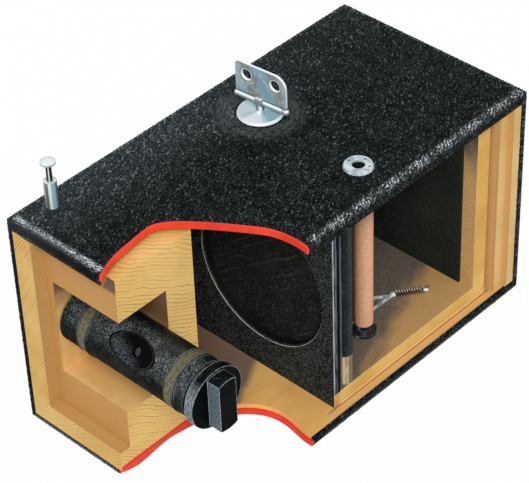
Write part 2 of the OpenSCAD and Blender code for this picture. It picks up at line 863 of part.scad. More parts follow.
// Domed head of the shutter pull
module pull_head() {
    dome_r = (head_d * head_d / 4 + head_h * head_h / 4) / head_h;
    color("#c6ced2")
        difference() {
            union() {
                rod_z(pull_x, pull_y, head_z, head_z + head_h / 2 + overlap, head_d);
                intersection() {
                    rod_z(pull_x, pull_y, head_z + head_h / 2, head_z + head_h, head_d);
                    translate([pull_x, pull_y, head_z + head_h - dome_r])
                        sphere(dome_r);
                }
            }
            rod_z(pull_x, pull_y, head_z - 1, head_z + head_h / 2, stem_d + 2 * seat_gap);
        }
}

// Pin holes that the roll holder's base and top share
module pin_holes(gap) {
    for (p = [[wind_x, wind_y], [supply_x, supply_y]])
        rod_z(p[0], p[1], pin_z0, pin_z1, spool_pin_d + 2 * gap);
    for (x = [roller_left_x, roller_right_x])
        rod_z(x, roller_y, pin_z0, pin_z1, roller_pin_d + 2 * gap);
}

// Base of the roll holder, mitred to its back
module holder_base() {
    color("#d7ad66")
        difference() {
            prism_x([[mask_rear, floor_z], [holder_back, floor_z],
                     [holder_face, base_top], [mask_rear, base_top]], holder_left, holder_right);
            pin_holes(seat_gap);
            rod_z(brake_pivot[0], brake_pivot[1], pin_z0, base_top + 1, brake_pin_d + 2 * seat_gap);
            rod_z(peg_at[0], peg_at[1], pin_z0, base_top + 1, peg_d + 2 * seat_gap);
        }
}

// Back of the roll holder
module holder_backboard() {
    color("#d7ad66")
        prism_x([[holder_back, floor_z], [holder_back, holder_z1],
                 [holder_face, holder_z1], [holder_face, base_top]], holder_left, holder_right);
}

// Top of the roll holder
module holder_top() {
    color("#c18c50")
        difference() {
            slab(holder_left, holder_right, mask_rear, holder_face, holder_z0, holder_z1);
            pin_holes(seat_gap);
            rod_z(wind_x, wind_y, holder_z0 - 1, holder_z1 + 1, key_shaft_d + 2 * run_gap);
        }
}

// Black lining on the front of the roll holder's back
module holder_lining() {
    color("#1a1c1b")
        slab(holder_left + lining_inset, holder_right - lining_inset, holder_face - lining_t, holder_face,
             base_top, holder_z0);
}

// Black mask with its round opening, across the front of the roll holder
module mask_board() {
    color("#181c1b")
        difference() {
            slab(holder_left, holder_right, mask_y, mask_rear, floor_z + holder_gap, holder_z1);
            translate([axis_x, mask_rear + 1, axis_z])
                rotate([90, 0, 0])
                    cylinder(h = mask_t + 2, d = mask_hole_d, $fn = 128);
            translate([axis_x, mask_y + mask_bevel, axis_z])
                rotate([90, 0, 0])
                    cylinder(h = 2 * mask_bevel, d1 = mask_hole_d, d2 = mask_hole_d + 4 * mask_bevel, $fn = 128);
        }
}

// Platen that backs the film behind the mask's opening
module platen() {
    platen_y = mask_rear + film_gap;
    color("#202423")
        slab(holder_mid - platen_w / 2, holder_mid + platen_w / 2, platen_y, platen_y + platen_t,
             base_top, holder_z0);
}

// Guide roller, bored for its pin
module guide_roller(x) {
    difference() {
        rod_z(x, roller_y, sleeve_z1 + side_gap / 2, holder_z0 - side_gap / 2, roller_d);
        rod_z(x, roller_y, base_top, holder_z0 + 1, roller_pin_d + 2 * run_gap);
    }
}

// Guide roller at the open side
module roller_right() {
    color("#2b2e31")
        guide_roller(roller_right_x);
}

// Guide roller at the closed side
module roller_left() {
    color("#2b2e31")
        guide_roller(roller_left_x);
}

// Brass sleeves that the guide rollers stand on
module roller_sleeves() {
    color("#bba171")
        for (x = [roller_left_x, roller_right_x])
            difference() {
                rod_z(x, roller_y, base_top, sleeve_z1, roller_d);
                rod_z(x, roller_y, base_top - 1, sleeve_z1 + 1, roller_pin_d + 2 * seat_gap);
            }
}

// Steel pins of the guide rollers
module roller_pins() {
    color("#9aa1a3")
        for (x = [roller_left_x, roller_right_x])
            rod_z(x, roller_y, pin_z0, pin_z1, roller_pin_d);
}

// Hub of a spool, with its flange at the bottom
module spool_hub(bore) {
    waist_d = core_d * 0.9;
    rotate_extrude()
        polygon([
            [bore / 2, 0],
            [flange_d / 2, 0],
            [flange_d / 2, hub_h * 0.25],
            [waist_d / 2, hub_h * 0.55],
            [core_d / 2, hub_h * 0.8],
            [core_d / 2, hub_h],
            [bore / 2, hub_h]
        ]);
}

// Both hubs of a spool, the upper one turned over
module spool_hubs(x, y, low_bore, high_bore) {
    translate([x, y, spool_z0])
        spool_hub(low_bore);
    translate([x, y, spool_z1])
        mirror([0, 0, 1])
            spool_hub(high_bore);
}

// Core of the supply spool, bored for its pin
module supply_core() {
    color("#c5916b")
        difference() {
            rod_z(supply_x, supply_y, spool_z0 + hub_h, spool_z1 - hub_h, core_d);
            rod_z(supply_x, supply_y, spool_z0, spool_z1, spool_pin_d + 2 * run_gap);
        }
}

// Hubs of the supply spool
module supply_hubs() {
    color("#1f2221")
        spool_hubs(supply_x, supply_y, spool_pin_d + 2 * run_gap, spool_pin_d + 2 * run_gap);
}

// Pin that the supply spool turns on
module supply_pin() {
    color("#9aa1a3")
        rod_z(supply_x, supply_y, pin_z0, pin_z1, spool_pin_d);
}

// Core of the winding spool, with a square socket for the key at its top
module wind_core() {
    color("#c5916b")
        difference() {
            rod_z(wind_x, wind_y, spool_z0 + hub_h, spool_z1 - hub_h, core_d);
            rod_z(wind_x, wind_y, spool_z0, wind_pin_z1 + side_gap, spool_pin_d + 2 * run_gap);
            key_end(seat_gap);
        }
}

// Hubs of the winding spool
module wind_hubs() {
    color("#1f2221")
        spool_hubs(wind_x, wind_y, spool_pin_d + 2 * run_gap, key_shaft_d + 2 * seat_gap);
}

// Pin under the winding spool
module wind_pin() {
    color("#9aa1a3")
        rod_z(wind_x, wind_y, pin_z0, wind_pin_z1, spool_pin_d);
}

// Lower end of the key's shaft, grown all round by a clearance
module key_end(gap) {
    rod_z(wind_x, wind_y, key_square_z - gap, spool_z1 + 1, key_shaft_d + 2 * gap);
    side = key_square + 2 * gap;
    slab(wind_x - side / 2, wind_x + side / 2, wind_y - side / 2, wind_y + side / 2,
         key_z0 - gap, key_square_z + overlap);
}

// Places its children on the key's hinge rod, turned with the key
module at_key() {
    translate([wind_x, wind_y, rod_axis_z])
        rotate([0, 0, key_turn])
            children();
}

// Winding key's shaft, base disc, post and knuckle
module key_shaft() {
    color("#9fb6c0")
        difference() {
            union() {
                rod_z(wind_x, wind_y, key_square_z, case_h + overlap, key_shaft_d);
                slab(wind_x - key_square / 2, wind_x + key_square / 2,
                     wind_y - key_square / 2, wind_y + key_square / 2, key_z0, key_square_z + overlap);
                translate([wind_x, wind_y, case_h])
                    cylinder(h = key_disc_t, d1 = key_disc_d, d2 = key_disc_d - key_disc_t);
                rod_z(wind_x, wind_y, case_h, rod_axis_z, key_post_d);
                at_key()
                    rod_x(-key_post_d / 2, key_post_d / 2, 0, 0, post_knuckle_d);
            }
            at_key()
                rod_x(-key_post_d, key_post_d, 0, 0, key_rod_d + 2 * run_gap);
        }
}

// Hinge rod of the key, with a ball at its right end
module key_rod() {
    color("#c3cdd2")
        at_key() {
            rod_x(flag_x0 - 0.6, ball_x, 0, 0, key_rod_d);
            translate([ball_x, 0, 0])
                sphere(d = knuckle_d);
        }
}

// Flag of the key: a plate with two holes and two rolled knuckles
module key_flag() {
    notch_w = key_post_d + 2 * side_gap;
    notch_h = post_knuckle_d / 2 + side_gap;
    color("#7ea4b0")
        at_key()
            difference() {
                union() {
                    rod_x(flag_x0, ball_x - knuckle_d / 2 - side_gap, 0, 0, knuckle_d);
                    rotate([90, 0, 0])
                        linear_extrude(flag_t, center = true)
                            flag_outline();
                }
                rod_x(-flag_w, flag_w, 0, 0, key_rod_d + 2 * seat_gap);
                translate([ball_x, 0, 0])
                    sphere(d = knuckle_d + 4 * seat_gap);
                slab(-notch_w / 2, notch_w / 2, -far / 2, far / 2, -far / 2, notch_h);
                slab(-flag_w, flag_w, -flag_t, -flag_t / 6, seam_z, seam_z + 0.4);
                for (s = [-1, 1])
                    translate([flag_hole_shift + s * flag_hole_gap / 2, flag_t, flag_hole_h])
                        rotate([90, 0, 0])
                            cylinder(h = 2 * flag_t, d = flag_hole_d);
            }
}

// Outline of the flag: square at its left corner and round at its right
module flag_outline() {
    corner = 1;
    low = key_rod_d / 2 + 0.3;
    polygon([
        [flag_x0, low],
        [flag_x1, low],
        [flag_x1, flag_h - flag_r],
        [flag_x1 - flag_r, flag_h],
        [flag_x0 + corner, flag_h],
        [flag_x0, flag_h - corner]
    ]);
    translate([flag_x1 - flag_r, flag_h - flag_r])
        circle(flag_r);
}

// Places its children at the ring's three screws
module ring_screw_places() {
    screw_r = (ring_d + ring_hole_d) / 4;
    for (a = [25, 95, 185])
        translate([ring_at[0] + screw_r * cos(a), ring_at[1] + screw_r * sin(a), 0])
            children();
}

// Ring escutcheon over the supply spool
module ring_plate() {
    color("#b4c5cc")
        difference() {
            translate([ring_at[0], ring_at[1], case_h])
                cylinder(h = ring_t, d1 = ring_d, d2 = ring_d - ring_t);
            rod_z(ring_at[0], ring_at[1], case_h - 1, case_h + ring_t + 1, ring_hole_d);
            ring_screw_places()
                translate([0, 0, case_h - 1])
                    cylinder(h = ring_t + 2, d = ring_screw_d + 2 * seat_gap);
        }
}

// Three small screws that hold the ring
module ring_screws() {
    color("#4a4e50")
        ring_screw_places()
            translate([0, 0, case_h + ring_t - ring_screw_l])
                cylinder(h = ring_screw_l - ring_t / 4, d = ring_screw_d);
}

// Straight flat arm between two points of the plan
module flat_arm(a, b, w, z0, t) {
    d = b - a;
    translate([a[0], a[1], z0])
        rotate([0, 0, atan2(d[1], d[0])])
            translate([0, -w / 2, 0])
                cube([norm(d), w, t]);
}

// Brake lever: a bent flat wire from its pivot, past the spring, to the shoe on the flange
module brake_lever() {
    color("#9aa7ad")
        difference() {
            union() {
                flat_arm(brake_pivot, brake_bend, brake_arm_w, brake_z, brake_arm_t);
                flat_arm(brake_bend, shoe_at, brake_arm_w, brake_z, brake_arm_t);
                rod_z(brake_pivot[0], brake_pivot[1], brake_z, brake_z + brake_arm_t, 2.2 * brake_pin_d);
                rod_z(shoe_at[0], shoe_at[1], brake_z, brake_z + brake_arm_t, brake_arm_w * 1.4);
                rod_z(brake_bend[0], brake_bend[1], brake_z, spring_z, brake_arm_w * 1.4);
                at_spring(brake_bend)
                    rod_x(0, ferrule_l, 0, 0, ferrule_d);
            }
            rod_z(brake_pivot[0], brake_pivot[1], brake_z - 1, brake_z + brake_arm_t + 1,
                  brake_pin_d + 2 * run_gap);
        }
}

// Headed pin that the brake lever turns on
module brake_pin() {
    color("#8d9496") {
        rod_z(brake_pivot[0], brake_pivot[1], pin_z0, brake_z + brake_arm_t + side_gap + overlap, brake_pin_d);
        rod_z(brake_pivot[0], brake_pivot[1], brake_z + brake_arm_t + side_gap,
              brake_z + 2 * brake_arm_t + side_gap, 1.8 * brake_pin_d);
    }
}

// Places its children at a point of the spring's axis, with +X along the spring
module at_spring(p) {
    translate([p[0], p[1], spring_z])
        rotate([0, 0, spring_turn])
            children();
}

// Peg in the base that holds the far end of the spring
module spring_peg() {
    color("#d9dcda") {
        rod_z(peg_at[0], peg_at[1], pin_z0, spring_z + ferrule_d / 2 + peg_out, peg_d);
        at_spring(spring_end)
            rod_x(0, ferrule_l, 0, 0, ferrule_d);
    }
}

// Brake spring: one unbroken helix with a straight run at each end
rings_per_turn = 8;
wire_sides = 6;
helix = [
    for (i = [0:spring_turns * rings_per_turn])
        let (a = 360 * i / rings_per_turn)
            [spring_wire + spring_pitch * i / rings_per_turn, spring_mean / 2 * cos(a), spring_mean / 2 * sin(a)]
];
spring_path = concat(
    [[0, spring_mean / 2, 0]],
    helix,
    [[spring_l, spring_mean / 2, 0]]
);
spring_least_gap = min([
    for (i = [0:len(spring_path) - 1], j = [i + rings_per_turn / 2:1:len(spring_path) - 1])
        norm(spring_path[i] - spring_path[j]) - spring_wire
]);
echo(spring_least_gap = spring_least_gap);

function path_way(p, i) = unit(p[min(i + 1, len(p) - 1)] - p[max(i - 1, 0)]);

module brake_spring() {
    last = len(spring_path) - 1;
    points = [
        for (i = [0:last])
            let (
                t = i == 0 || i == last ? [1, 0, 0] : path_way(spring_path, i),
                out = unit([0, spring_path[i][1], spring_path[i][2]]),
                side = unit(cross(t, out)),
                up = cross(side, t)
            )
                for (k = [0:wire_sides - 1])
                    spring_path[i] + spring_wire / 2
                        * (up * cos(360 * k / wire_sides) + side * sin(360 * k / wire_sides))
    ];
    walls = [
        for (i = [0:last - 1], k = [0:wire_sides - 1])
            let (a = i * wire_sides + k, b = i * wire_sides + (k + 1) % wire_sides)
                each [[a, a + wire_sides, b], [b, a + wire_sides, b + wire_sides]]
    ];
    start_cap = [for (k = [1:wire_sides - 2]) [0, k, k + 1]];
    end = last * wire_sides;
    end_cap = [for (k = [1:wire_sides - 2]) [end, end + k + 1, end + k]];
    color("#3c4143")
        at_spring(spring_start)
            polyhedron(points = points, faces = concat(walls, start_cap, end_cap), convexity = 10);
}

leather_top();
leather_left();
leather_bottom();
leather_back();
top_board();
left_board();
bottom_board();
back_board_outer();
back_board_inner();
front_stile();
front_sill();
front_header();
shutter_block();
trim_top();
trim_bottom();
barrel();
barrel_bands();
lens();
lens_ring();
trunnion();
string_drum();
shutter_knob();
pull_sleeve();
pull_stem();
pull_head();
holder_base();
holder_backboard();
holder_top();
holder_lining();
mask_board();
platen();
roller_right();
roller_left();
roller_sleeves();
roller_pins();
supply_core();
supply_hubs();
supply_pin();
wind_core();
wind_hubs();
wind_pin();
key_shaft();
key_rod();
key_flag();
ring_plate();
ring_screws();
brake_lever();
brake_pin();
brake_spring();
spring_peg();
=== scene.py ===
import bpy
import json
import math
import numpy as np
from mathutils import Matrix, Vector


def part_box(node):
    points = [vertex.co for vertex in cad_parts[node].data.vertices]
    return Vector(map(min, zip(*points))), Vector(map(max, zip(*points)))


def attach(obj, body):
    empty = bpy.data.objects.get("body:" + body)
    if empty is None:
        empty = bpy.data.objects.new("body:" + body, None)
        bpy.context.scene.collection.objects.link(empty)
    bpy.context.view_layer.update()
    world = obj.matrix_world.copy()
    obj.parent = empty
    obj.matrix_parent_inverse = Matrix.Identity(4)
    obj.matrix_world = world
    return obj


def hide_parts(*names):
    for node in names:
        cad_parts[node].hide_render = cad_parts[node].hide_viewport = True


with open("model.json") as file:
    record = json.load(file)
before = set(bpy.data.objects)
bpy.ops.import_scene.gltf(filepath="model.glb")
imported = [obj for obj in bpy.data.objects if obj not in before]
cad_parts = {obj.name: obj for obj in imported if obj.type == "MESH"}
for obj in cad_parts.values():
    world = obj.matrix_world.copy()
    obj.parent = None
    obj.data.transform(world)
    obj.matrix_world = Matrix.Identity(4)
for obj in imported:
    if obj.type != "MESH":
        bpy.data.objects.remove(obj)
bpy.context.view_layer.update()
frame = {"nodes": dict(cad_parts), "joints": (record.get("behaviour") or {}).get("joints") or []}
nodes = frame["nodes"]
MM = 0.001


# ----------------------------------------
# Studio. A white floor, one large soft lamp high on the right and an even pale sky. The camera
# looks down on the open corner through a long lens.

image_w = 529
camera_azimuth, camera_height, camera_roll = 44.555, 39.472, -2.239
camera_distance = 0.7744
focal_px = 2232.2
target = Vector((-0.006341, 0, 0.046124))

azimuth, height, roll = (math.radians(a) for a in (camera_azimuth, camera_height, camera_roll))
back = Vector((math.sin(azimuth) * math.cos(height), -math.cos(azimuth) * math.cos(height), math.sin(height)))
level = Vector((math.cos(azimuth), math.sin(azimuth), 0))
upward = back.cross(level)
camera = bpy.data.objects.new("camera", bpy.data.cameras.new("camera"))
bpy.context.scene.collection.objects.link(camera)
camera.data.sensor_width = 36
camera.data.lens = focal_px * camera.data.sensor_width / image_w
camera.data.clip_start = 0.01
view_axes = Matrix((
    level * math.cos(roll) + upward * math.sin(roll),
    upward * math.cos(roll) - level * math.sin(roll),
    back,
)).transposed().to_4x4()
view_axes.translation = target + back * camera_distance
camera.matrix_world = view_axes
bpy.context.scene.camera = camera
bpy.context.scene.view_settings.view_transform = "Standard"


def plug(socket, value):
    """Sets a shader socket, or links it where the value is the output of a node."""
    value = getattr(value, "socket", value)
    if isinstance(value, bpy.types.NodeSocket):
        socket.id_data.links.new(value, socket)
    else:
        socket.default_value = value


def shade(tree, kind, settings=None, **sockets):
    """Adds a shader node. Each socket, by its name or as s0, s1 by its place, takes a value or an output."""
    made = tree.nodes.new("ShaderNode" + kind)
    for key, value in (settings or {}).items():
        setattr(made, key, value)
    for key, value in sockets.items():
        by_place = key[0] == "s" and key[1:].isdigit()
        plug(made.inputs[int(key[1:]) if by_place else key.replace("_", " ")], value)
    return made


def paint(red, green, blue):
    """A colour given as it looks on a screen, 0 to 255, in the linear values that shaders take."""
    return tuple((c / 255) ** 2.2 for c in (red, green, blue)) + (1.0,)


def mostly_white(tree, lit, *rays, share=1):
    """A lit shader that rays of the given kinds see as plain white, by a share."""
    paths = shade(tree, "LightPath").outputs
    seen = paths[rays[0]]
    for ray in rays[1:]:
        seen = shade(tree, "Math", {"operation": "MAXIMUM"}, s0=seen, s1=paths[ray]).outputs[0]
    seen = shade(tree, "Math", {"operation": "MULTIPLY"}, s0=seen, s1=share).outputs[0]
    plain = shade(tree, "Emission" if lit.bl_idname == "ShaderNodeBsdfDiffuse" else "Background",
                  Color=(1, 1, 1, 1), Strength=1)
    return shade(tree, "MixShader", s0=seen, s1=lit.outputs[0], s2=plain.outputs[0]).outputs[0]


floor_half = 1.5
floor_mesh = bpy.data.meshes.new("floor")
corners = ((-1, -1), (1, -1), (1, 1), (-1, 1))
floor_mesh.from_pydata([(x * floor_half, y * floor_half, 0) for x, y in corners], [], [(0, 1, 2, 3)])
floor = bpy.data.objects.new("floor", floor_mesh)
bpy.context.scene.collection.objects.link(floor)
floor_white = bpy.data.materials.new("floor")
floor_white.use_nodes = True
tree = floor_white.node_tree
tree.nodes.clear()
lit = shade(tree, "BsdfDiffuse", Color=(0.8, 0.8, 0.8, 1))
shade(tree, "OutputMaterial",
      Surface=mostly_white(tree, lit, "Is Camera Ray", "Is Transmission Ray", share=0.97))
floor_mesh.materials.append(floor_white)

world = bpy.data.worlds.new("sky")
bpy.context.scene.world = world
world.use_nodes = True
sky = world.node_tree
sky.nodes.clear()
fill = shade(sky, "Background", Color=(0.95, 0.97, 1, 1), Strength=0.62)
shade(sky, "OutputWorld",
      Surface=mostly_white(sky, fill, "Is Camera Ray", "Is Transmission Ray", "Is Glossy Ray"))

lamp = bpy.data.objects.new("lamp", bpy.data.lights.new("lamp", "SUN"))
lamp.data.energy = 1.9
lamp.data.angle = math.radians(24)
lamp.data.color = (1.0, 0.985, 0.95)
lamp.rotation_euler = Vector((0.62, -0.55, 0.80)).to_track_quat("Z", "Y").to_euler()
bpy.context.scene.collection.objects.link(lamp)


# ----------------------------------------
# Leather covering. Thin black goatskin glued over the wooden case: pebbled, dusted with fine
# pale flecks, with a painted bluish sheen over the top's left and front, and rubbed round the winding key.

case_low, case_high = (np.array(p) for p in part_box("leather_top"))
case_low[2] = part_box("leather_bottom")[0][2]
joints = {j["name"]: j for j in frame["joints"]}
key_at = np.array(joints["winder_turn"]["pos_m"])


class Tone:
    """A value, colour, place or direction that changes over a surface: the output of a shader node. A sum,
    difference, product or quotient of tones and numbers adds the Math node that works it out."""

    def __init__(self, socket):
        self.socket, self.tree, self.parts = socket, socket.id_data, None

    def math(self, operation, *values, clamp=False):
        """One Math node on these values, or on this tone alone."""
        made = shade(self.tree, "Math", {"operation": operation, "use_clamp": clamp})
        for socket, value in zip(made.inputs, values or (self,)):
            plug(socket, value)
        return Tone(made.outputs[0])

    def vector(self, operation, *others):
        """One Vector Math node on this tone and others: a length or a dot product is a value."""
        made = shade(self.tree, "VectorMath", {"operation": operation})
        for socket, value in zip(made.inputs, (self, *others)):
            plug(socket, value)
        return Tone(made.outputs["Value" if operation in ("LENGTH", "DOT_PRODUCT") else "Vector"])

    def part(self, number):
        """Part of a place or a direction along one axis."""
        self.parts = self.parts or shade(self.tree, "SeparateXYZ", Vector=self).outputs
        return Tone(self.parts[number])

    x, y, z = (property(lambda self, n=n: self.part(n)) for n in range(3))

    def joined(operation, turned=False):
        """An operator: one Math node on this tone and another value, or on the two turned round."""
        return lambda self, other: self.math(operation, *((other, self) if turned else (self, other)))

    __add__, __sub__, __mul__, __truediv__ = map(joined, ("ADD", "SUBTRACT", "MULTIPLY", "DIVIDE"))
    __rsub__, __rtruediv__ = joined("SUBTRACT", True), joined("DIVIDE", True)
    larger = joined("MAXIMUM")

    def __neg__(self):
        return self * -1

    def __abs__(self):
        return self.math("ABSOLUTE")

    def clamped(self):
        """The tone kept between 0 and 1."""
        return self.math("ADD", self, 0, clamp=True)


def first_of(tree, kind, settings=None, **sockets):
    """A new shader node's first output, as a tone."""
    return Tone(shade(tree, kind, settings, **sockets).outputs[0])


def group(name, inputs, outputs):
    """Starts a shader node group with these inputs and outputs, each a value, or a vector where it is called
    Vector. Gives the group's tree, what it is given, as tones, and where its results go."""
    tree = bpy.data.node_groups.new(name, "ShaderNodeTree")
    for labels, way in ((inputs, "INPUT"), (outputs, "OUTPUT")):
        for label in labels:
            kind = "NodeSocketVector" if label == "Vector" else "NodeSocketFloat"
            tree.interface.new_socket(label, in_out=way, socket_type=kind)
    given = tree.nodes.new("NodeGroupInput").outputs
    return tree, {o.name: Tone(o) for o in given}, tree.nodes.new("NodeGroupOutput").inputs


def ramp(value, low, high, to_low=0, to_high=1):
    """Smooth step of a value from one level to another."""
    return first_of(value.tree, "MapRange", {"interpolation_type": "SMOOTHSTEP"}, s0=value, s1=low, s2=high,
                    s3=to_low, s4=to_high)


def step(length, low, high, to_low=0, to_high=1):
    """Smooth step of a length between two levels in millimetres."""
    return ramp(length, low * MM, high * MM, to_low, to_high)


def blend(share, first, second):
    """Colour between two colours, by a share from 0 to 1. A plain colour is given as it looks on a screen."""
    tree = next(t.tree for t in (share, first, second) if isinstance(t, Tone))
    first, second = (c if isinstance(c, Tone) else paint(*c) for c in (first, second))
    return Tone(shade(tree, "Mix", {"data_type": "RGBA"}, s0=share, s6=first, s7=second).outputs[2])


def noise(vector, scale, detail=2, roughness=0.5, distortion=0):
    """Noise of about this many swells to a metre."""
    return first_of(vector.tree, "TexNoise", Vector=vector, Scale=scale, Detail=detail, Roughness=roughness,
                    Distortion=distortion)


def stretched(vector, scale, turn=(0, 0, 0), place=(0, 0, 0)):
    """The vector moved, turned by degrees and then scaled along each axis."""
    moved = first_of(vector.tree, "Mapping", {"vector_type": "TEXTURE"}, Vector=vector, Location=place,
                     Rotation=tuple(math.radians(a) for a in turn))
    return first_of(vector.tree, "Mapping", {"vector_type": "POINT"}, Vector=moved, Scale=scale)


def start(name):
    """A new material: gives it, and the object coordinates and normals as tones."""
    material = bpy.data.materials.new(name)
    material.use_nodes = True
    here = shade(material.node_tree, "TexCoord").outputs
    return material, Tone(here["Object"]), Tone(here["Normal"])


def finish(material, base, patches, roughness, height=None, strength=0, depth=0, **plain):
    """Feeds the material's Principled shader, and gives the material: a base colour, a roughness between two
    values by patches, a bump from a height of 0 to 1 that is this many millimetres deep, and plain values."""
    tree = material.node_tree
    sockets = {"Base_Color": base, "Roughness": ramp(patches, 0.3, 0.7, *roughness), **plain}
    if height:
        sockets["Normal"] = first_of(tree, "Bump", Height=height, Strength=strength, Distance=depth * MM)
    for key, value in sockets.items():
        plug(tree.nodes["Principled BSDF"].inputs[key.replace("_", " ")], value)
    return material


def pebble_group():
    """Pebbled grain and pale flecks. Cells of a Voronoi pattern make the pebbles: their rounded tops are the
    height, and those that a random value picks out, where a slow noise lets them, are the flecks."""
    tree, given, put = group("pebbles", ("Vector", "Size", "Flecks"), ("Height", "Fleck", "Mottle"))
    cells = shade(tree, "TexVoronoi", Vector=given["Vector"], Scale=1 / given["Size"]).outputs
    off_middle, random = Tone(cells["Distance"]), Tone(cells["Color"])
    mottle = noise(given["Vector"], 210, 4, 0.62)
    shown = ((random.x + mottle * 0.9 - 0.45 - (1 - given["Flecks"])) * 4.5).clamped()
    fleck = shown * ramp(off_middle, 0.15, 0.62, 1, 0) * (random.y * 0.8 + 0.2)
    plug(put["Height"], ramp(off_middle, 0, 0.62, 1, 0))
    plug(put["Fleck"], fleck)
    plug(put["Mottle"], mottle)
    return tree


pebbles = pebble_group()


def use(group_tree, **sockets):
    """Places a node group, giving its outputs as tones by their names."""
    made = shade(sockets["Vector"].tree, "Group", {"node_tree": group_tree}, **sockets)
    return {o.name: Tone(o) for o in made.outputs}


def leather(name, rub_and_highlight=None, flecks=1):
    """Black pebbled leather with a painted bluish sheen on its top. Its second argument names a vertex
    attribute, 0 to 1, where the skin is painted pale, as rubbed wear and as painted highlight; flecks scales
    how strong the pale flecks are."""
    material, place, _ = start(name)
    fine = use(pebbles, Vector=place, Size=0.5 * MM, Flecks=0.6)
    long_cells = stretched(place, (1, 0.42, 1), (0, 0, 35))
    coarse = use(pebbles, Vector=long_cells, Size=0.5 * MM, Flecks=0.3)
    above = step(place.z, 80, 87)
    # Painted sheen: a bluish highlight over the top's left and front, where the pale flecks also show
    # stronger.
    painted_sheen = step(place.x, -8, -40) * above * step(place.y, 60, -30, 0.3, 1)
    from_key = stretched(place, (1, 1, 0), place=tuple(key_at))
    reach = from_key.vector("LENGTH")
    round_key = from_key.vector("NORMALIZE")
    outwards = first_of(place.tree, "CombineXYZ", Z=reach * 1.6)
    polar = round_key.vector("MULTIPLY_ADD", (3 * MM, 3 * MM, 0), outwards)
    arcs = ramp(noise(polar, 1900, 3, 0.65), 0.42, 0.62)
    worn_ring = step(reach, 8.4, 10) * step(reach, 18, 12) * above * arcs
    base = blend(ramp(fine["Mottle"], 0.3, 0.7), (10, 13, 13), (25, 29, 28))
    base = blend(painted_sheen * 0.45, base, (54, 62, 66))
    share = painted_sheen * (0.6 * flecks) + 0.46 * flecks
    base = blend(fine["Fleck"] * share, base, (112, 120, 119))
    base = blend(coarse["Fleck"] * share, base, (158, 168, 169))
    base = blend(worn_ring * 0.6, base, (96, 104, 106))
    if rub_and_highlight:
        named = {"attribute_name": rub_and_highlight, "attribute_type": "GEOMETRY"}
        crest = shade(place.tree, "Attribute", named).outputs["Fac"]
        # Pale where the attribute is high: rubbed wear on the creases and the painted highlight of rolled
        # edges.
        rubbed_and_lit = (ramp(noise(place, 1900, 3, 0.7), 0.44, 0.57) * crest).clamped()
        base = blend(rubbed_and_lit, base, (222, 232, 238))
    height = fine["Height"] * 0.6 + coarse["Height"]
    return finish(material, base, fine["Mottle"], (0.42, 0.62), height, 0.5, 0.12, Specular_IOR_Level=0.02)


def dress(material, *names):
    """Gives a CAD node its material."""
    for name in names:
        mesh = nodes[name].data
        mesh.materials.clear()
        mesh.materials.append(material)


dress(leather("black_leather"), "leather_top", "leather_left", "leather_bottom", "leather_back")


# ----------------------------------------
# Folded edges of the leather. Where the skin turns over an edge of the case it gathers into
# short creases across the fold; their crests and a band along each fold are painted white, as rubbed wear
# and as the painted highlight of the rolled edge.


def grid_object(name, points, material, closed=(False, False), rub_and_highlight=None):
    """Smooth mesh object from a grid of points [i, j, xyz], with its attribute of pale paint for wear and
    painted highlight. A closed direction joins its last row to its first."""
    rows, columns = points.shape[:2]
    numbers = np.arange(rows * columns).reshape(rows, columns)
    if closed[0]:
        numbers = np.vstack([numbers, numbers[:1]])
    if closed[1]:
        numbers = np.hstack([numbers, numbers[:, :1]])
    quads = np.stack([numbers[:-1, :-1], numbers[1:, :-1], numbers[1:, 1:], numbers[:-1, 1:]], axis=-1)
    mesh = bpy.data.meshes.new(name)
    mesh.vertices.add(rows * columns)
    mesh.vertices.foreach_set("co", points.astype(np.float32).ravel())
    mesh.loops.add(quads.size)
    mesh.loops.foreach_set("vertex_index", quads.astype(np.int32).ravel())
    mesh.polygons.add(quads.size // 4)
    mesh.polygons.foreach_set("loop_start", np.arange(0, quads.size, 4, dtype=np.int32))
    mesh.update(calc_edges=True)
    mesh.polygons.foreach_set("use_smooth", np.ones(quads.size // 4, dtype=bool))
    if rub_and_highlight is not None:
        mesh.attributes.new("rub_and_highlight", "FLOAT", "POINT").data.foreach_set("value", rub_and_highlight.astype(np.float32).ravel())
    mesh.validate()
    obj = bpy.data.objects.new(name, mesh)
    bpy.context.scene.collection.objects.link(obj)
    mesh.materials.append(material)
    return obj


def creases(along, across, seed, pitch, leans):
    """Height of the creases, 0 to 1. Two sets of short ridges cross the fold, each leaning its own way; their
    pitch wanders, and each ridge starts, stops and swells where slow waves let it. A steep lean lays them
    along the fold."""
    rng = np.random.default_rng(seed)
    total = np.zeros_like(along)
    for lean, stretch_by, share in ((leans[0], 1.0, 1.0), (leans[1], 1.63, 0.7)):
        phase = rng.random(6) * 6.28
        sway = sum(a * np.sin(2 * np.pi * along / (pitch * k) + p)
                   for a, k, p in zip((0.8, 0.5, 0.3), (8.3, 3.9, 2.3), phase))
        wave = np.abs(np.sin(np.pi * (along / (pitch * stretch_by) + sway * 0.45 + lean * across)))
        swell = (np.sin(2 * np.pi * along / (pitch * 3.1) + 5 * across + phase[3])
                 + np.sin(2 * np.pi * along / (pitch * 1.7) - 7 * across + phase[4])
                 + np.sin(2 * np.pi * along / (pitch * 11) + phase[5]))
        total = np.maximum(total, (1 - wave) ** 1.2 * share * np.clip(0.5 + 0.33 * swell, 0.05, 1))
    return total


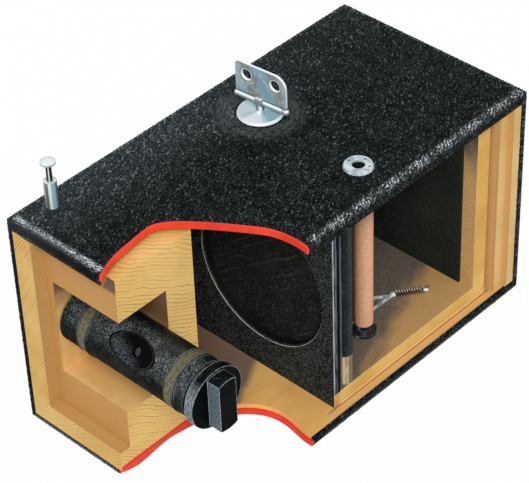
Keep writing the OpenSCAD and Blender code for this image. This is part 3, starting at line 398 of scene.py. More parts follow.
def fold(name, start_at, end_at, inward, radius, reach, depth, seed, material, pitch=1, wear_and_highlight=0.45,
         crest_at=0.42, leans=(0.55, -0.25), dust_and_highlight=0, spread=0.24):
    """Strip of leather along an edge of the case, to 1 mm from either end of the sharp corner line.
    The section is flat along the first face, a quarter circle round the corner, and flat along the second.
    It stands off the covering by the height of its creases, and dives under it at every border. Its crests
    are painted pale by the wear share, as wear and as painted highlight, and the dust share greys it evenly,
    as dust and as a painted highlight band. Radius, reach, depth and pitch are in millimetres."""
    radius, depth, pitch = radius * MM, depth * MM, pitch * MM
    first, second = inward
    way = np.array(end_at) - np.array(start_at)
    length = np.linalg.norm(way) - 2 * MM
    way /= np.linalg.norm(way)
    along = np.linspace(0, length, max(int(length / (0.17 * MM)), 8))
    flat_first = np.linspace(reach[0] * MM, radius, 22)[:-1]
    turn = np.linspace(0, np.pi / 2, 7)
    flat_second = np.linspace(radius, reach[1] * MM, 13)[1:]
    u = np.concatenate([flat_first, radius - radius * np.sin(turn), np.zeros(len(flat_second))])
    v = np.concatenate([np.zeros(len(flat_first)), radius - radius * np.cos(turn), flat_second])
    out_u = np.concatenate([np.zeros(len(flat_first)), -np.sin(turn), -np.ones(len(flat_second))])
    out_v = np.concatenate([-np.ones(len(flat_first)), -np.cos(turn), np.zeros(len(flat_second))])
    section = np.outer(u, first) + np.outer(v, second)
    outward = np.outer(out_u, first) + np.outer(out_v, second)
    across = np.concatenate([[0], np.cumsum(np.hypot(np.diff(u), np.diff(v)))])
    across /= across[-1]
    s, t = np.meshgrid(along, across, indexing="ij")
    border = np.clip(np.minimum(t, 1 - t) * 5.5, 0, 1) * np.clip(np.minimum(s, length - s) / (1.2 * MM), 0, 1)
    height = creases(s, t, seed, pitch, leans)
    stand = (0.03 * MM + depth * height) * border - 0.05 * MM * (1 - border)
    spine = np.array(start_at) + np.outer(along + 1 * MM, way)
    points = spine[:, None, :] + section[None] + outward[None] * stand[..., None]
    # Pale paint round crest_at and on the crests: rubbed wear and the painted highlight along the rolled
    # edge.
    middle = np.exp(-((t - crest_at) / spread) ** 2)
    rub_and_highlight = np.maximum(wear_and_highlight * np.clip((height - 0.22) * 2.4, 0, 1), dust_and_highlight) * middle * border
    obj = grid_object(name, points, material, rub_and_highlight=rub_and_highlight)
    normal = np.cross(points[1, 0] - points[0, 0], points[0, 1] - points[0, 0])
    if np.dot(normal, -second) > 0:
        obj.data.flip_normals()
    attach(obj, "case")


rubbed_lit_leather = leather("rubbed_lit_leather", "rub_and_highlight")
smooth_leather = leather("smooth_leather", "rub_and_highlight", 0.08)
x0, y0, z0 = case_low
x1, y1, z1 = case_high
X, Y, Z = np.eye(3)
top_r, edge_r = 0.9, 0.6
fold("fold_top_front", (x0, y0, z1), (2 * MM, y0, z1), (Y, -Z), top_r, (4.6, 3.6), 0.26, 3, smooth_leather, 5,
     wear_and_highlight=2.4, crest_at=0.29, leans=(7, 4.5), dust_and_highlight=0.6, spread=0.16)
fold("fold_top_right", (x1, -28 * MM, z1), (x1, y1, z1), (-X, -Z), top_r, (4.6, 3.4), 0.32, 5, rubbed_lit_leather,
     1.25, wear_and_highlight=2, crest_at=0.36, leans=(5, 3.2), dust_and_highlight=0.08, spread=0.2)
fold("fold_top_left", (x0, y1, z1), (x0, y0, z1), (X, -Z), top_r, (2.6, 3), 0.26, 7, rubbed_lit_leather, wear_and_highlight=0.5)
fold("fold_top_back", (x1, y1, z1), (x0, y1, z1), (-Y, -Z), top_r, (2.6, 3), 0.26, 11, rubbed_lit_leather,
     wear_and_highlight=0.5)
fold("fold_left_front", (x0, y0, z0), (x0, y0, z1), (X, Y), edge_r, (2.2, 3), 0.16, 13, smooth_leather, 3,
     wear_and_highlight=0.4, crest_at=0.5, leans=(4, 3))
fold("fold_left_back", (x0, y1, z0), (x0, y1, z1), (X, -Y), edge_r, (3, 3), 0.22, 17, rubbed_lit_leather,
     crest_at=0.5)
fold("fold_right_back", (x1, y1, z0), (x1, y1, z1), (-X, -Y), edge_r, (3, 3.5), 0.14, 19, smooth_leather,
     crest_at=0.6)
fold("fold_bottom_front", (x0, y0, z0), (3 * MM, y0, z0), (Y, Z), edge_r, (3, 2.6), 0.1, 23, smooth_leather,
     4, wear_and_highlight=0.4, crest_at=0.62, leans=(5, 3), dust_and_highlight=0.3)
fold("fold_bottom_right", (x1, -25 * MM, z0), (x1, y1, z0), (-X, Z), edge_r, (3, 2.2), 0.1, 29,
     smooth_leather, 4, wear_and_highlight=0.5, crest_at=0.62, leans=(5, 3), dust_and_highlight=0.16)
fold("fold_bottom_left", (x0, y0, z0), (x0, y1, z0), (X, Z), edge_r, (3, 3), 0.22, 31, rubbed_lit_leather)


# ----------------------------------------
# Front frame: stile, sill and header. Straight-grained pine, mitred at the corners and glued;
# growth lines slant across the stile, the sill is paler and the header is stained amber.


def timber_group():
    """Sawn softwood. Growth layers are planes stacked along the vector's Z, a spacing apart, bent by slow
    noise; each darkens slowly and ends sharply. Fibres are a finer noise, drawn out along X by a length."""
    taken = ("Vector", "Spacing", "Waviness", "Length")
    tree, given, put = group("timber", taken, ("Growth", "Fibre", "Tone"))
    at = given["Vector"]
    bend = (noise(at, 330, 3, 0.6) - 0.5) * (0.9 * MM) + (noise(at, 62) - 0.5) * given["Waviness"]
    layer = (at.z + bend) / given["Spacing"]
    part = layer.math("FRACT")
    which = first_of(tree, "TexWhiteNoise", {"noise_dimensions": "1D"}, W=layer.math("FLOOR"))
    line = ramp(part, 0.45, 0.88) * ramp(part, 1, 0.9) * (which * 0.7 + 0.3)
    plug(put["Growth"], line * ramp(noise(at, 120), 0.3, 0.6, 0.35, 1))
    squeezed = first_of(tree, "CombineXYZ", X=at.x / given["Length"], Y=at.y, Z=at.z)
    plug(put["Fibre"], noise(squeezed, 2600, 3, 0.7))
    plug(put["Tone"], noise(at, 45))
    return tree


timber = timber_group()


def edge_group():
    """Edges of a piece, 1 on the edge and 0 a little way in, from how far the normals round about differ."""
    tree, given, put = group("edges", ("Radius", "Vector"), ("Edge",))
    wide = first_of(tree, "Bevel", {"samples": 6}, Radius=given["Radius"])
    plain = shade(tree, "NewGeometry").outputs["True Normal"]
    broken = ramp(noise(given["Vector"], 900, 3, 0.6), 0.32, 0.58, 0.25, 1)
    plug(put["Edge"], ramp(wide.vector("DOT_PRODUCT", plain), 0.995, 0.86) * broken)
    return tree


edges = edge_group()


def worn_and_lit_edges(base, place, radius, share, colour, edge_spared=None):
    """Paints a piece's edges pale by a share, a radius in millimetres in from them, partly as wear and partly
    as painted highlight; a last function, if given, gives a share of them that keeps its own colour."""
    worn_and_lit = use(edges, Radius=radius * MM, Vector=place)["Edge"] * share
    if edge_spared:
        worn_and_lit = worn_and_lit * (1 - edge_spared(place))
    return blend(worn_and_lit, base, colour)


def wood(name, light, dark, growth, spacing=1.3, waviness=3.2, turn=(0, 0, 0), line_share=0.5, length=14,
         edge_colour=None, edge_share=0.6, faces=None):
    """Bare wood from its light, dark and growth-line colours. turn sets the grain, spacing and waviness
    of its lines are in millimetres, and faces is a function that colours single faces."""
    material, place, normal = start(name)
    lain = stretched(place, (1, 1, 1), turn)
    grain = use(timber, Vector=lain, Spacing=spacing * MM, Waviness=waviness * MM, Length=length)
    base = blend(ramp(grain["Tone"], 0.34, 0.66), light, dark)
    base = blend(grain["Growth"] * line_share, base, growth)
    base = blend(ramp(grain["Fibre"], 0.56, 0.75, 0, 0.42), base, growth)
    base = blend(ramp(grain["Fibre"], 0.44, 0.28, 0, 0.3), base, light)
    if faces:
        base = faces(base, place, normal, grain)
    # Pale arrises: partly wear, partly painted highlight.
    if edge_colour:
        base = worn_and_lit_edges(base, place, 0.35, edge_share, edge_colour)
    height = grain["Growth"] * 0.6 + grain["Fibre"]
    return finish(material, base, grain["Fibre"], (0.5, 0.7), height, 0.35, 0.06, Specular_IOR_Level=0.3)


def lie(layers, along):
    """Turn, in degrees, that stacks the grain's growth layers one way and lays its fibres along another."""
    up = Vector(layers).normalized()
    fibre = Vector(along)
    fibre = (fibre - up * fibre.dot(up)).normalized()
    return tuple(math.degrees(a) for a in Matrix((fibre, up.cross(fibre), up)).transposed().to_euler())


def facing(part):
    """Share, 0 to 1, of a surface that looks along an axis, from the part of its normal along that axis."""
    return ramp(part, 0.6, 0.8)


def amber_stain(grain):
    """Amber stain on planed pine."""
    return blend(ramp(grain["Fibre"], 0.4, 0.65), (195, 154, 94), (182, 139, 82))


screen_up = (-0.446, 0.453, 0.772)


def stile_faces(base, place, normal, grain):
    """The side of the stile that looks inwards is stained amber."""
    return blend(facing(normal.x), base, amber_stain(grain))


def sill_faces(base, place, normal, grain):
    """The sill is amber on top. Its sawn end shows the block's grain, and the red of the case's broken edge
    is carried up it a little."""
    base = blend(facing(normal.z), base, amber_stain(grain))
    lain = stretched(place, (1, 1, 1), lie(screen_up, (0, 1, 0)))
    sawn = use(timber, Vector=lain, Spacing=1.25 * MM, Waviness=5 * MM, Length=2.5)
    end = blend(sawn["Growth"] * 0.75, (226, 188, 114), (170, 118, 54))
    base = blend(facing(normal.x), base, end)
    height = noise(place, 300) * (0.5 * MM) + place.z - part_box("front_sill")[0][2]
    red = facing(normal.x) * step(height, 2.4, 2.25)
    return blend(red, base, (226, 58, 38))


dress(wood("stile_wood", (220, 182, 108), (211, 166, 88), (172, 112, 44), spacing=1, waviness=1.8,
           turn=lie((-0.832, 0, 0.555), (1, 0, 1.5)), line_share=0.95, length=4, edge_colour=(236, 208, 150),
           faces=stile_faces), "front_stile")
dress(wood("sill_wood", (224, 188, 118), (215, 173, 97), (178, 120, 50), spacing=0.95, waviness=3.4,
           turn=lie((-0.545, 0, 0.838), (1, 0, 0.65)), line_share=0.85, length=4, edge_colour=(236, 208, 150),
           faces=sill_faces), "front_sill")
dress(wood("header_wood", (196, 142, 78), (184, 130, 66), (150, 96, 48), spacing=2.2,
           line_share=0.25), "front_header")


# ----------------------------------------
# Shutter block. One piece of pine, chopped out for the barrel. The section is sawn clean across
# its growth layers; the recessed front is stained amber and the pocket a paler tan, with painted shade,
# brown, under the top's edge and high up inside the pocket.


def block_faces(base, place, normal, grain):
    """Amber on the recessed front, with painted shade, brown, just under the top; paler tan in the pocket,
    with painted shade, brown, in its upper part; the rest is bare.
    """
    low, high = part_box("shutter_block")
    cut = facing(normal.x) * step(place.x - high[0], -0.5, -0.2)
    on_top = step(place.z - high[2], -0.3, -0.1)
    stained = 1 - cut.larger(on_top)
    amber = blend(ramp(grain["Fibre"], 0.4, 0.65), (196, 146, 84), (184, 134, 72))
    # Painted shadow under the lip of the top, along the upper edge of the recessed front.
    amber = blend(step(place.z, 76.5, 79), amber, (104, 82, 66))
    inside = step(place.y - low[1], 0.2, 0.6)
    pale = blend(ramp(noise(place, 80), 0.35, 0.65), (228, 178, 108), (244, 198, 130))
    # Painted shade high up in the pocket, reaching lower on faces that look forward.
    rise = noise(place, 150) * (6 * MM) + facing(-normal.y) * (8 * MM) + place.z
    pale = blend(step(rise, 54, 66), pale, (124, 92, 66))
    return blend(stained, base, blend(inside, amber, pale))


dress(wood("block_wood", (236, 197, 120), (226, 183, 104), (170, 118, 54), spacing=1.25, waviness=5,
           turn=lie(screen_up, (0, 1, 0)), line_share=0.75, length=2.5, edge_colour=(244, 220, 166),
           edge_share=0.55, faces=block_faces), "shutter_block")


# ----------------------------------------
# Case boards and the two back boards. Thin boards glued inside the leather; the back is built
# up of two boards, each with an amber line along its front arris and its front painted paler, as painted
# light.


def amber_front_faces(node, width, arris_amber):
    """Colours a back board's end: an amber line along its front arris, this many millimetres wide. Its front
    is painted paler amber, painted light that makes up for the shade it stands in."""
    def faces(base, place, normal, grain):
        base = blend(step(place.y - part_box(node)[0][1], width, width - 0.2), base, arris_amber)
        # Painted light on the front, paler to make up for its shade.
        return blend(facing(-normal.y), base, (212, 164, 104))
    return faces


for layer, light, dark, growth, width, arris_amber in (
        ("outer", (216, 182, 122), (204, 168, 106), (170, 126, 72), 0.8, (184, 134, 76)),
        ("inner", (218, 186, 122), (206, 170, 108), (172, 128, 72), 1.6, (182, 134, 78))):
    node = "back_board_" + layer
    dress(wood(layer + "_back_wood", light, dark, growth, spacing=0.9, waviness=1.2,
               turn=lie((0, 1, 0.03), (0, 0, 1)), line_share=0.3,
               faces=amber_front_faces(node, width, arris_amber)), node)


def shaded_floor(base, place, normal, grain):
    """Painted shade, brown, where the floor runs under the shutter block and the barrel."""
    reach = noise(place, 200) * (2 * MM) + place.y * 0.5 + place.x
    dark = step(reach, -2.5, -6.5) * facing(normal.z)
    base = blend(dark, base, (134, 109, 92))
    margin = step(place.x, 37.6, 38.2) * step(place.y, -20, -14)
    base = blend(margin, base, (214, 168, 106))
    joint = margin * step(place.x, 38.9, 38.6)
    return blend(joint, base, (168, 118, 66))


dress(wood("floor_wood", (241, 189, 112), (229, 175, 100), (186, 134, 72), spacing=2.6,
           turn=lie((0.3, 0, 0.95), (0, 1, 0)), line_share=0.2, edge_colour=(232, 190, 126),
           faces=shaded_floor), "bottom_board")


def dark_bore(base, place, normal, grain):
    """The hole under the ring escutcheon is painted dark, as the shade down the bore."""
    low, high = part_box("ring_plate")
    middle = ((low[0] + high[0]) / 2, (low[1] + high[1]) / 2, 0)
    off = stretched(place, (1, 1, 0), place=middle).vector("LENGTH")
    return blend(step(off, 3.2, 2.9), base, (48, 40, 36))


dress(wood("case_wood", (222, 180, 112), (206, 160, 94), (160, 114, 62), turn=lie((0, 0, 1), (0, 1, 0)),
           faces=dark_bore), "left_board", "top_board")


# ----------------------------------------
# Painted edges. The broken edges of the top and the bottom are faced with a strip of wood in
# glossy red, brushed on.


def red_paint():
    """Brushed enamel: red with slow darker swells and fine brush lines in its bump."""
    material, place, _ = start("red_enamel")
    swell = noise(place, 140)
    brush = noise(stretched(place, (1, 1, 7)), 900, 3, 0.6)
    base = blend(ramp(swell, 0.3, 0.7), (238, 66, 42), (222, 52, 32))
    base = blend(ramp(brush, 0.58, 0.75, 0, 0.5), base, (196, 44, 30))
    return finish(material, base, brush, (0.42, 0.6), brush, 0.3, 0.05, Specular_IOR_Level=0.4)


dress(red_paint(), "trim_top", "trim_bottom")


# ----------------------------------------
# Shutter barrel. A turned wooden cylinder, stained black and waxed, with two seats for the bands,
# a conical lens opening and a stop. It is greyed in fine specks, with a speckled painted highlight along its
# top fading into painted shade below, and pale arrises, partly wear and partly painted highlight.

turn_axis = np.array(joints["shutter_turn"]["pos_m"])


def blackened(name, tone=(16, 19, 19), haze=(46, 50, 50), fleck=(120, 128, 128), haze_share=0.6, flecks=0.35,
              size=0.45, edge_colour=(150, 160, 166), edge_share=0.7, edge_radius=0.3, roughness=(0.36, 0.6),
              extra=None, gloss=0.03, edge_spared=None):
    """Wood or board stained black: a grey haze in slow patches, fine pale flecks, and pale arrises, partly
    wear and partly painted highlight, except where a given share of them is still black. extra colours single
    parts of the piece."""
    material, place, normal = start(name)
    grit = use(pebbles, Vector=place, Size=size * MM, Flecks=flecks)
    patch = noise(place, 70, 4, 0.65)
    base = blend(ramp(patch, 0.38, 0.72, 0, haze_share), tone, haze)
    base = blend(grit["Fleck"] * 0.7, base, fleck)
    if extra:
        base = extra(base, place, normal, grit)
    base = worn_and_lit_edges(base, place, edge_radius, edge_share, edge_colour, edge_spared)
    return finish(material, base, grit["Mottle"], roughness, grit["Height"], 0.3, 0.05,
                  Specular_IOR_Level=gloss)


def sight_place(place):
    """Place in the sight's own frame: gives it, and how far it is off the sight's and the barrel's axis."""
    at = stretched(place, (1, 1, 1), (-sight_turn, 0, 0), tuple(turn_axis))
    return at, stretched(at, (1, 0, 1)).vector("LENGTH"), stretched(at, (0, 1, 1)).vector("LENGTH")


def cone_reach(at):
    """The cone's own radius at a place's height along the sight's axis."""
    slope = (cone_r - stop_r) / cone_depth
    return at.y * -slope + (cone_r - barrel_radius * slope)


def barrel_light_and_dust(base, place, normal, grit):
    """A painted highlight along the barrel's top, speckled like dust, fading down its front into painted
    shade;
    the sight's cone is painted blacker as shade, with painted grey light only on its lower side, and a black
    line round it."""
    front_up = normal.z * 0.86 + normal.y * -0.5
    lit = ramp(front_up, 0.62, 1.02)
    dust_and_highlight = ramp(noise(place, 2000, 2, 0.8), 0.46, 0.62)
    thick = ramp(noise(place, 110, 3, 0.6), 0.36, 0.6, 0.35, 1)
    # Painted shade: the underside fades to near black.
    dull = blend(ramp(front_up, 0.1, 0.75), (13, 15, 15), base)
    lit_dusty = blend(lit * thick * (dust_and_highlight * 0.7 + 0.03), dull, (144, 152, 154))
    at, off, radius = sight_place(place)
    past_rim = off - cone_reach(at)
    outline = step(past_rim, -0.1, 0.05) * step(past_rim, 0.8, 0.5)
    lit_dusty = blend(outline * step(at.y, -2, -4), lit_dusty, (9, 10, 10))
    hollow = step(radius - barrel_radius, -0.12, -0.3) * step(off, 10, 9.7)
    # Painted light on the cone's lower side; painted shade elsewhere inside it.
    low_side = step(at.x * -0.6 - at.z, -1, 6)
    streaks = ramp(noise(place, 2400, 3, 0.65), 0.42, 0.64)
    inner = blend(low_side * streaks, (10, 12, 12), (92, 99, 101))
    return blend(hollow, lit_dusty, inner)


def sight_black(place):
    """The sight's arris is kept black, without the pale edge, but for a painted highlight arc at its lower
    end.
    """
    at, off, _ = sight_place(place)
    arc = step(at.x * 0.8 - at.z, 5, 7)
    past_rim = off - cone_reach(at)
    return step(past_rim, 1.2, 0.9) * (1 - arc)


def knob_light(base, place, normal, grit):
    """Painted light: ends that look along the axis are painted blackest, as shade; the rim and the grip's
    front carry painted grey streaks of light, and a painted highlight line runs round the rim's upper side.
    """
    ends = facing(abs(normal.x))
    base = blend(ends, base, (13, 15, 15))
    streaks = ramp(noise(stretched(place, (1, 1, 0.5)), 3000, 3, 0.7), 0.38, 0.64)
    front = ramp(-normal.y, 0.45, 0.98)
    grip = step(place.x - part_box("shutter_knob")[1][0], -5.4, -5, 1, 0.7)
    streaks = (streaks * 0.75 + 0.1) * grip
    base = blend(front * streaks, base, (164, 180, 188))
    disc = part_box("shutter_knob")[0][0]
    line = step(place.x - disc, 1.3, 1.7) * step(place.x - disc, 3.4, 3)
    upper = ramp(normal.z * 0.5 + normal.y * -0.87, 0.2, 0.9)
    line = line * upper * (1 - ends) * ramp(noise(place, 500, 3, 0.6), 0.4, 0.55, 0.25, 1)
    return blend(line, base, (184, 204, 214))


sight_turn = 43.5
cone_r, cone_depth, stop_r = 9.6 * MM, 2.5 * MM, 1.9 * MM
barrel_radius = (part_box("barrel")[1][2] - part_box("barrel")[0][2]) / 2
dress(blackened("barrel_black", tone=(14, 17, 17), extra=barrel_light_and_dust, edge_spared=sight_black), "barrel")
dress(blackened("knob_black", haze_share=0.4, edge_share=1, edge_radius=0.35, flecks=0.3, extra=knob_light,
                edge_colour=(206, 217, 222)), "shutter_knob")


# ----------------------------------------
# Bands and beads of the barrel. Two thin brass bands, gone brown, are let into the wood; fine
# turned beads stand beside them, and one more marks the barrel's end at the knob.


def metal(name, light, dark, spot, metallic=0.15, roughness=(0.28, 0.5), scale=260, stretch=(1, 1, 1),
          spot_share=0.6, edge_colour=(236, 242, 246), edge_share=0.7, edge_radius=0.18, extra=None,
          edge_spared=None):
    """Metal with two tones in patches, darker spots, fine scratches and arrises painted bright as highlights,
    except where a given share keeps its own colour."""
    material, place, normal = start(name)
    patch = noise(stretched(place, stretch), scale, 3, 0.55, 0.6)
    specks = noise(place, 1900, 3, 0.7)
    base = blend(ramp(patch, 0.4, 0.6), light, dark)
    base = blend(ramp(specks, 0.58, 0.72, 0, spot_share), base, spot)
    if extra:
        base = extra(base, place, normal)
    base = worn_and_lit_edges(base, place, edge_radius, edge_share, edge_colour, edge_spared)
    scratch = noise(stretched(place, (1, 6, 1), (0, 0, 35)), 2200, 2, 0.6)
    return finish(material, base, specks, roughness, specks + scratch, 0.18, 0.03, Metallic=metallic)


dress(metal("band_brass", (112, 104, 80), (82, 76, 56), (38, 36, 30), metallic=0.1, roughness=(0.55, 0.75),
            scale=900, edge_colour=(134, 126, 104), edge_share=0.3, spot_share=0.9), "barrel_bands")


def ring_round(name, place_x, size, material, sides=10, segments=96):
    """Bead about the barrel's axis: a circle of its size, centred on the barrel's surface, carried round."""
    a = np.linspace(0, 2 * np.pi, sides, endpoint=False)
    turn = np.linspace(0, 2 * np.pi, segments, endpoint=False)[:, None]
    radius = barrel_radius + size * np.sin(a)
    points = np.stack([np.broadcast_to(place_x + size * np.cos(a), (segments, sides)),
                       turn_axis[1] + radius * np.cos(turn), turn_axis[2] + radius * np.sin(turn)], axis=-1)
    return grid_object(name, points, material, closed=(True, True))


# The beads' bright grey haze is a painted highlight along them, over the barrel's painted light.
bead_material = blackened("bead_black", haze=(120, 128, 132), haze_share=0.9, edge_share=0.2,
                          extra=barrel_light_and_dust)
band_low, band_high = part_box("barrel_bands")
band_w = 3.1 * MM
bead_places = [
    (band_low[0] - 0.5 * MM, 0.25), (band_low[0] + band_w + 0.45 * MM, 0.3),
    (band_low[0] + band_w + 1.3 * MM, 0.25),
    (band_high[0] - band_w - 0.4 * MM, 0.22), (band_high[0] + 0.5 * MM, 0.3), (band_high[0] + 1.5 * MM, 0.22),
    (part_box("barrel")[1][0] - 0.35 * MM, 0.22)]
for number, (bead_x, bead_size) in enumerate(bead_places):
    ring = ring_round(f"barrel_bead_{number + 1}", bead_x, bead_size * MM, bead_material)
    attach(ring, "shutter")


# ----------------------------------------
# Lens and its fittings. A small double-convex glass behind the stop, held by a brass ring from
# the back of the barrel. The string's drum is brass too; the trunnion and all pins are drawn steel.


def lens_glass():
    """Glass tinted near black, as painted shade, with a faint film of dust in patches that roughens it."""
    material, place, _ = start("lens_glass")
    film = noise(place, 1200, 2, 0.6) * (4 / 3) - 0.7 / 3
    return finish(material, paint(26, 32, 36), film, (0.02, 0.12), Transmission_Weight=1, IOR=1.52)


dress(lens_glass(), "lens")
fittings = metal("fitting_brass", (176, 150, 96), (140, 116, 72), (84, 66, 40), metallic=0.8, scale=500)
dress(fittings, "lens_ring", "string_drum")
dress(metal("drawn_steel", (178, 184, 186), (120, 126, 128), (70, 74, 76), metallic=0.85, scale=500),
      "trunnion", "roller_pins", "supply_pin", "wind_pin", "brake_pin")


# ----------------------------------------
# Shutter pull. A nickel-plated sleeve screwed into the top, and a headed stem that slides in it
# and draws the string.


rightwards = (0.713, 0.702)


def side_of(normal, wobble=0, place=None):
    """Where a surface faces round an upright axis, from -1 at the left of the open corner to 1 at its right,
    and a share that is 1 on its upright side."""
    side = normal.x * rightwards[0] + normal.y * rightwards[1]
    if wobble:
        side = (noise(stretched(place, (1, 1, 0.08)), 1100, 3, 0.6) - 0.5) * wobble + side
    return side, ramp(abs(normal.z), 0.6, 0.3)


def striped(wobble, *bands):
    """Paints lengthwise stripes of light and reflection on an upright tube, each as (from, to, colour,
    share), with soft borders.
    """
    def light(base, place, normal, *_):
        side, upright = side_of(normal, wobble, place)
        for first, last, colour, share in bands:
            inside = ramp(side, first - 0.05, first + 0.05) * ramp(side, last + 0.05, last - 0.05)
            base = blend(inside * upright * share, base, colour)
        return base
    return light


# Painted reflections: the plated sleeve is olive at its left, then white and light blue; the stem is dark
# with one white stripe.
sleeve_light = striped(0.12, (-1.2, -0.72, (150, 156, 152), 0.8), (-0.72, -0.25, (98, 101, 94), 0.95),
                       (-0.25, 0.18, (238, 243, 245), 0.95), (0.18, 0.78, (150, 190, 208), 0.95),
                       (0.78, 1.2, (92, 98, 98), 0.9))
stem_light = striped(0.1, (-1.2, 1.2, (24, 26, 27), 0.95), (-0.2, 0.2, (226, 232, 234), 0.95))


def head_light(base, place, normal):
    """Painted light: white on top, painted shade, grey-blue, under the head's rim, and light blue on its
    right.
    """
    side, _ = side_of(normal)
    under = ramp(normal.z, 0.25, -0.15)
    base = blend(under * 0.85, base, (84, 92, 94))
    return blend(ramp(side, 0.45, 0.8) * 0.7, base, (140, 176, 194))


dress(metal("sleeve_nickel", (222, 230, 234), (184, 200, 208), (112, 122, 126), roughness=(0.3, 0.45),
            scale=330, spot_share=0.4, extra=sleeve_light), "pull_sleeve")
dress(metal("head_nickel", (228, 235, 239), (204, 216, 222), (120, 130, 134), metallic=0.2,
            roughness=(0.25, 0.4), scale=330, spot_share=0.3, extra=head_light), "pull_head")
dress(metal("stem_steel", (120, 126, 128), (70, 76, 78), (40, 44, 46), scale=700,
            stretch=(3, 3, 0.4), edge_share=0.3, extra=stem_light), "pull_stem")


# ----------------------------------------
# Roll holder: base, back and top. A pine tray on three sides of the film. Its end grain is sawn
# at the open side; the floor carries painted shade, dark round the spools, and is golden along its open edge.


def holder_shade(base, place, normal, grain):
    """Painted shade, dark brown, on the floor round the supply spool and behind it, golden along the open
    side;
    the front of the backboard is brown, with painted shade darker near the top; a painted highlight line runs
    along the foot of the ends."""
    streaky = noise(stretched(place, (1, 0.4, 1), (0, 0, 20)), 170, 4, 0.6)
    # Painted shade on the floor away from the open side.
    inner_shade = step((streaky - 0.5) * (16 * MM) + place.y * 0.38 + place.x, 46, 33)
    speck = ramp(noise(place, 1500, 3, 0.7), 0.3, 0.6, 0.75, 1)
    dark = blend(ramp(grain["Fibre"], 0.35, 0.65), (96, 94, 90), (76, 75, 71))
    golden = blend(ramp(grain["Fibre"], 0.4, 0.65), (197, 156, 102), (183, 142, 88))
    base = blend(facing(normal.z), base, blend(inner_shade * speck, golden, dark))
    brown = blend(ramp(noise(place, 900, 3, 0.6), 0.35, 0.65), (219, 172, 110), (194, 154, 100))
    # Painted shade darkening the backboard's front towards the top.
    shade_rise = noise(place, 160, 3, 0.6) * (14 * MM) + place.z
    brown = blend(step(shade_rise, 64, 84), brown, (91, 90, 85))
    base = blend(facing(normal.x) * step(place.z, 12, 18, 0, 0.3), base, (190, 136, 40))
    # Painted highlight line along the foot of the ends.
    foot = step(place.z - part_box("holder_base")[0][2], 0.6, 0.4)
    base = blend(facing(normal.x) * foot, base, (250, 226, 172))
    return blend(facing(-normal.y), base, brown)


holder_wood = wood("holder_wood", (228, 186, 108), (214, 170, 88), (164, 110, 46), spacing=0.95,
                   waviness=1.4, turn=lie((0, -0.444, 0.896), (0, 1, 0.5)), line_share=0.9, length=4,
                   edge_colour=(252, 228, 172), edge_share=0.85, faces=holder_shade)
dress(holder_wood, "holder_base", "holder_backboard")


def shaded_top_side(base, place, normal, grain):
    """The upper side of the holder's top is painted near black, as the shade seen down the ring's bore."""
    return blend(facing(normal.z), base, (30, 28, 27))


dress(wood("holder_top_wood", (170, 122, 72), (150, 104, 60), (112, 74, 42), faces=shaded_top_side),
      "holder_top")


# ----------------------------------------
# Mask, platen and lining. Thin boards painted matt black. The mask's round opening has a painted
# highlight round its rim, and the platen shows long slanting streaks of painted light.


def mask_rim(base, place, normal, grit):
    """A painted highlight line round the opening, whose wall is kept plain dark, and the end at the open side
    painted grey with streaks, a painted highlight along its front arris, painted shadow at its back and bare
    wood low down.
    """
    low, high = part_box("mask_board")
    past_rim = stretched(place, (1, 0, 1), place=tuple(turn_axis)).vector("LENGTH") - mask_hole_r
    base = blend(step(past_rim, 0.1, 0.02), base, (27, 30, 29))
    line = step(past_rim, 0.75, 0.55)
    at_front = step(place.y - low[1], 0.25, 0.1)
    broken = ramp(noise(place, 260, 4, 0.7), 0.36, 0.56, 0.4, 1)
    base = blend(line * at_front * broken, base, (214, 218, 213))
    streaks = noise(stretched(place, (1, 1, 0.06)), 1900, 3, 0.6)
    grey = blend(ramp(streaks, 0.38, 0.64), (40, 44, 46), (100, 108, 112))
    # Painted highlight along the end's front arris.
    front_line = step(place.y - low[1], 0.7, 0.4) * ramp(streaks, 0.34, 0.52, 0.4, 0.9)
    grey = blend(front_line, grey, (178, 188, 192))
    # Painted shadow at the back of the end.
    grey = blend(step(place.y - high[1], -1.3, -0.9), grey, (14, 16, 17))
    bare = blend(ramp(streaks, 0.4, 0.6), (212, 170, 102), (190, 146, 84))
    grey = blend(step(place.z, 10.2, 9.8), grey, bare)
    return blend(facing(normal.x) * step(place.x - high[0], -0.4, -0.1), base, grey)


mask_hole_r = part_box("mask_board")[1][0] - 5.4 * MM - turn_axis[0]
dress(blackened("mask_black", tone=(29, 33, 32), haze=(52, 56, 54), fleck=(138, 146, 144), haze_share=0.5,
                flecks=0.65, size=0.42, edge_colour=(110, 116, 116), edge_share=0.25, roughness=(0.6, 0.8),
                extra=mask_rim, gloss=0.02), "mask_board")


def slanting_light(base, place, normal, grit):
    """Long slanting streaks of painted light, grey on black."""
    light_streak = noise(stretched(place, (1, 1, 0.06), (0, 52, 0)), 620, 4, 0.62)
    share = ramp(light_streak, 0.5, 0.68) * ramp(noise(place, 40), 0.4, 0.6)
    return blend(share * 0.5, base, (78, 82, 82))


dress(blackened("platen_black", tone=(32, 35, 34), haze=(48, 52, 51), fleck=(116, 122, 120), haze_share=0.4,
                flecks=0.42, size=0.55, edge_share=0.2, roughness=(0.6, 0.8), extra=slanting_light, gloss=0.02),
      "platen")
dress(blackened("lining_black", tone=(40, 43, 40), haze=(54, 57, 53), fleck=(98, 102, 96), haze_share=0.5,
                flecks=0.3, edge_share=0.3, edge_colour=(70, 72, 70), roughness=(0.7, 0.85), gloss=0.02),
      "holder_lining")


# ----------------------------------------
# Guide rollers. Black hard-rubber tubes that turn on steel pins and stand on brass sleeves.
# Rubber and brass are both drawn with their light in lengthwise stripes.


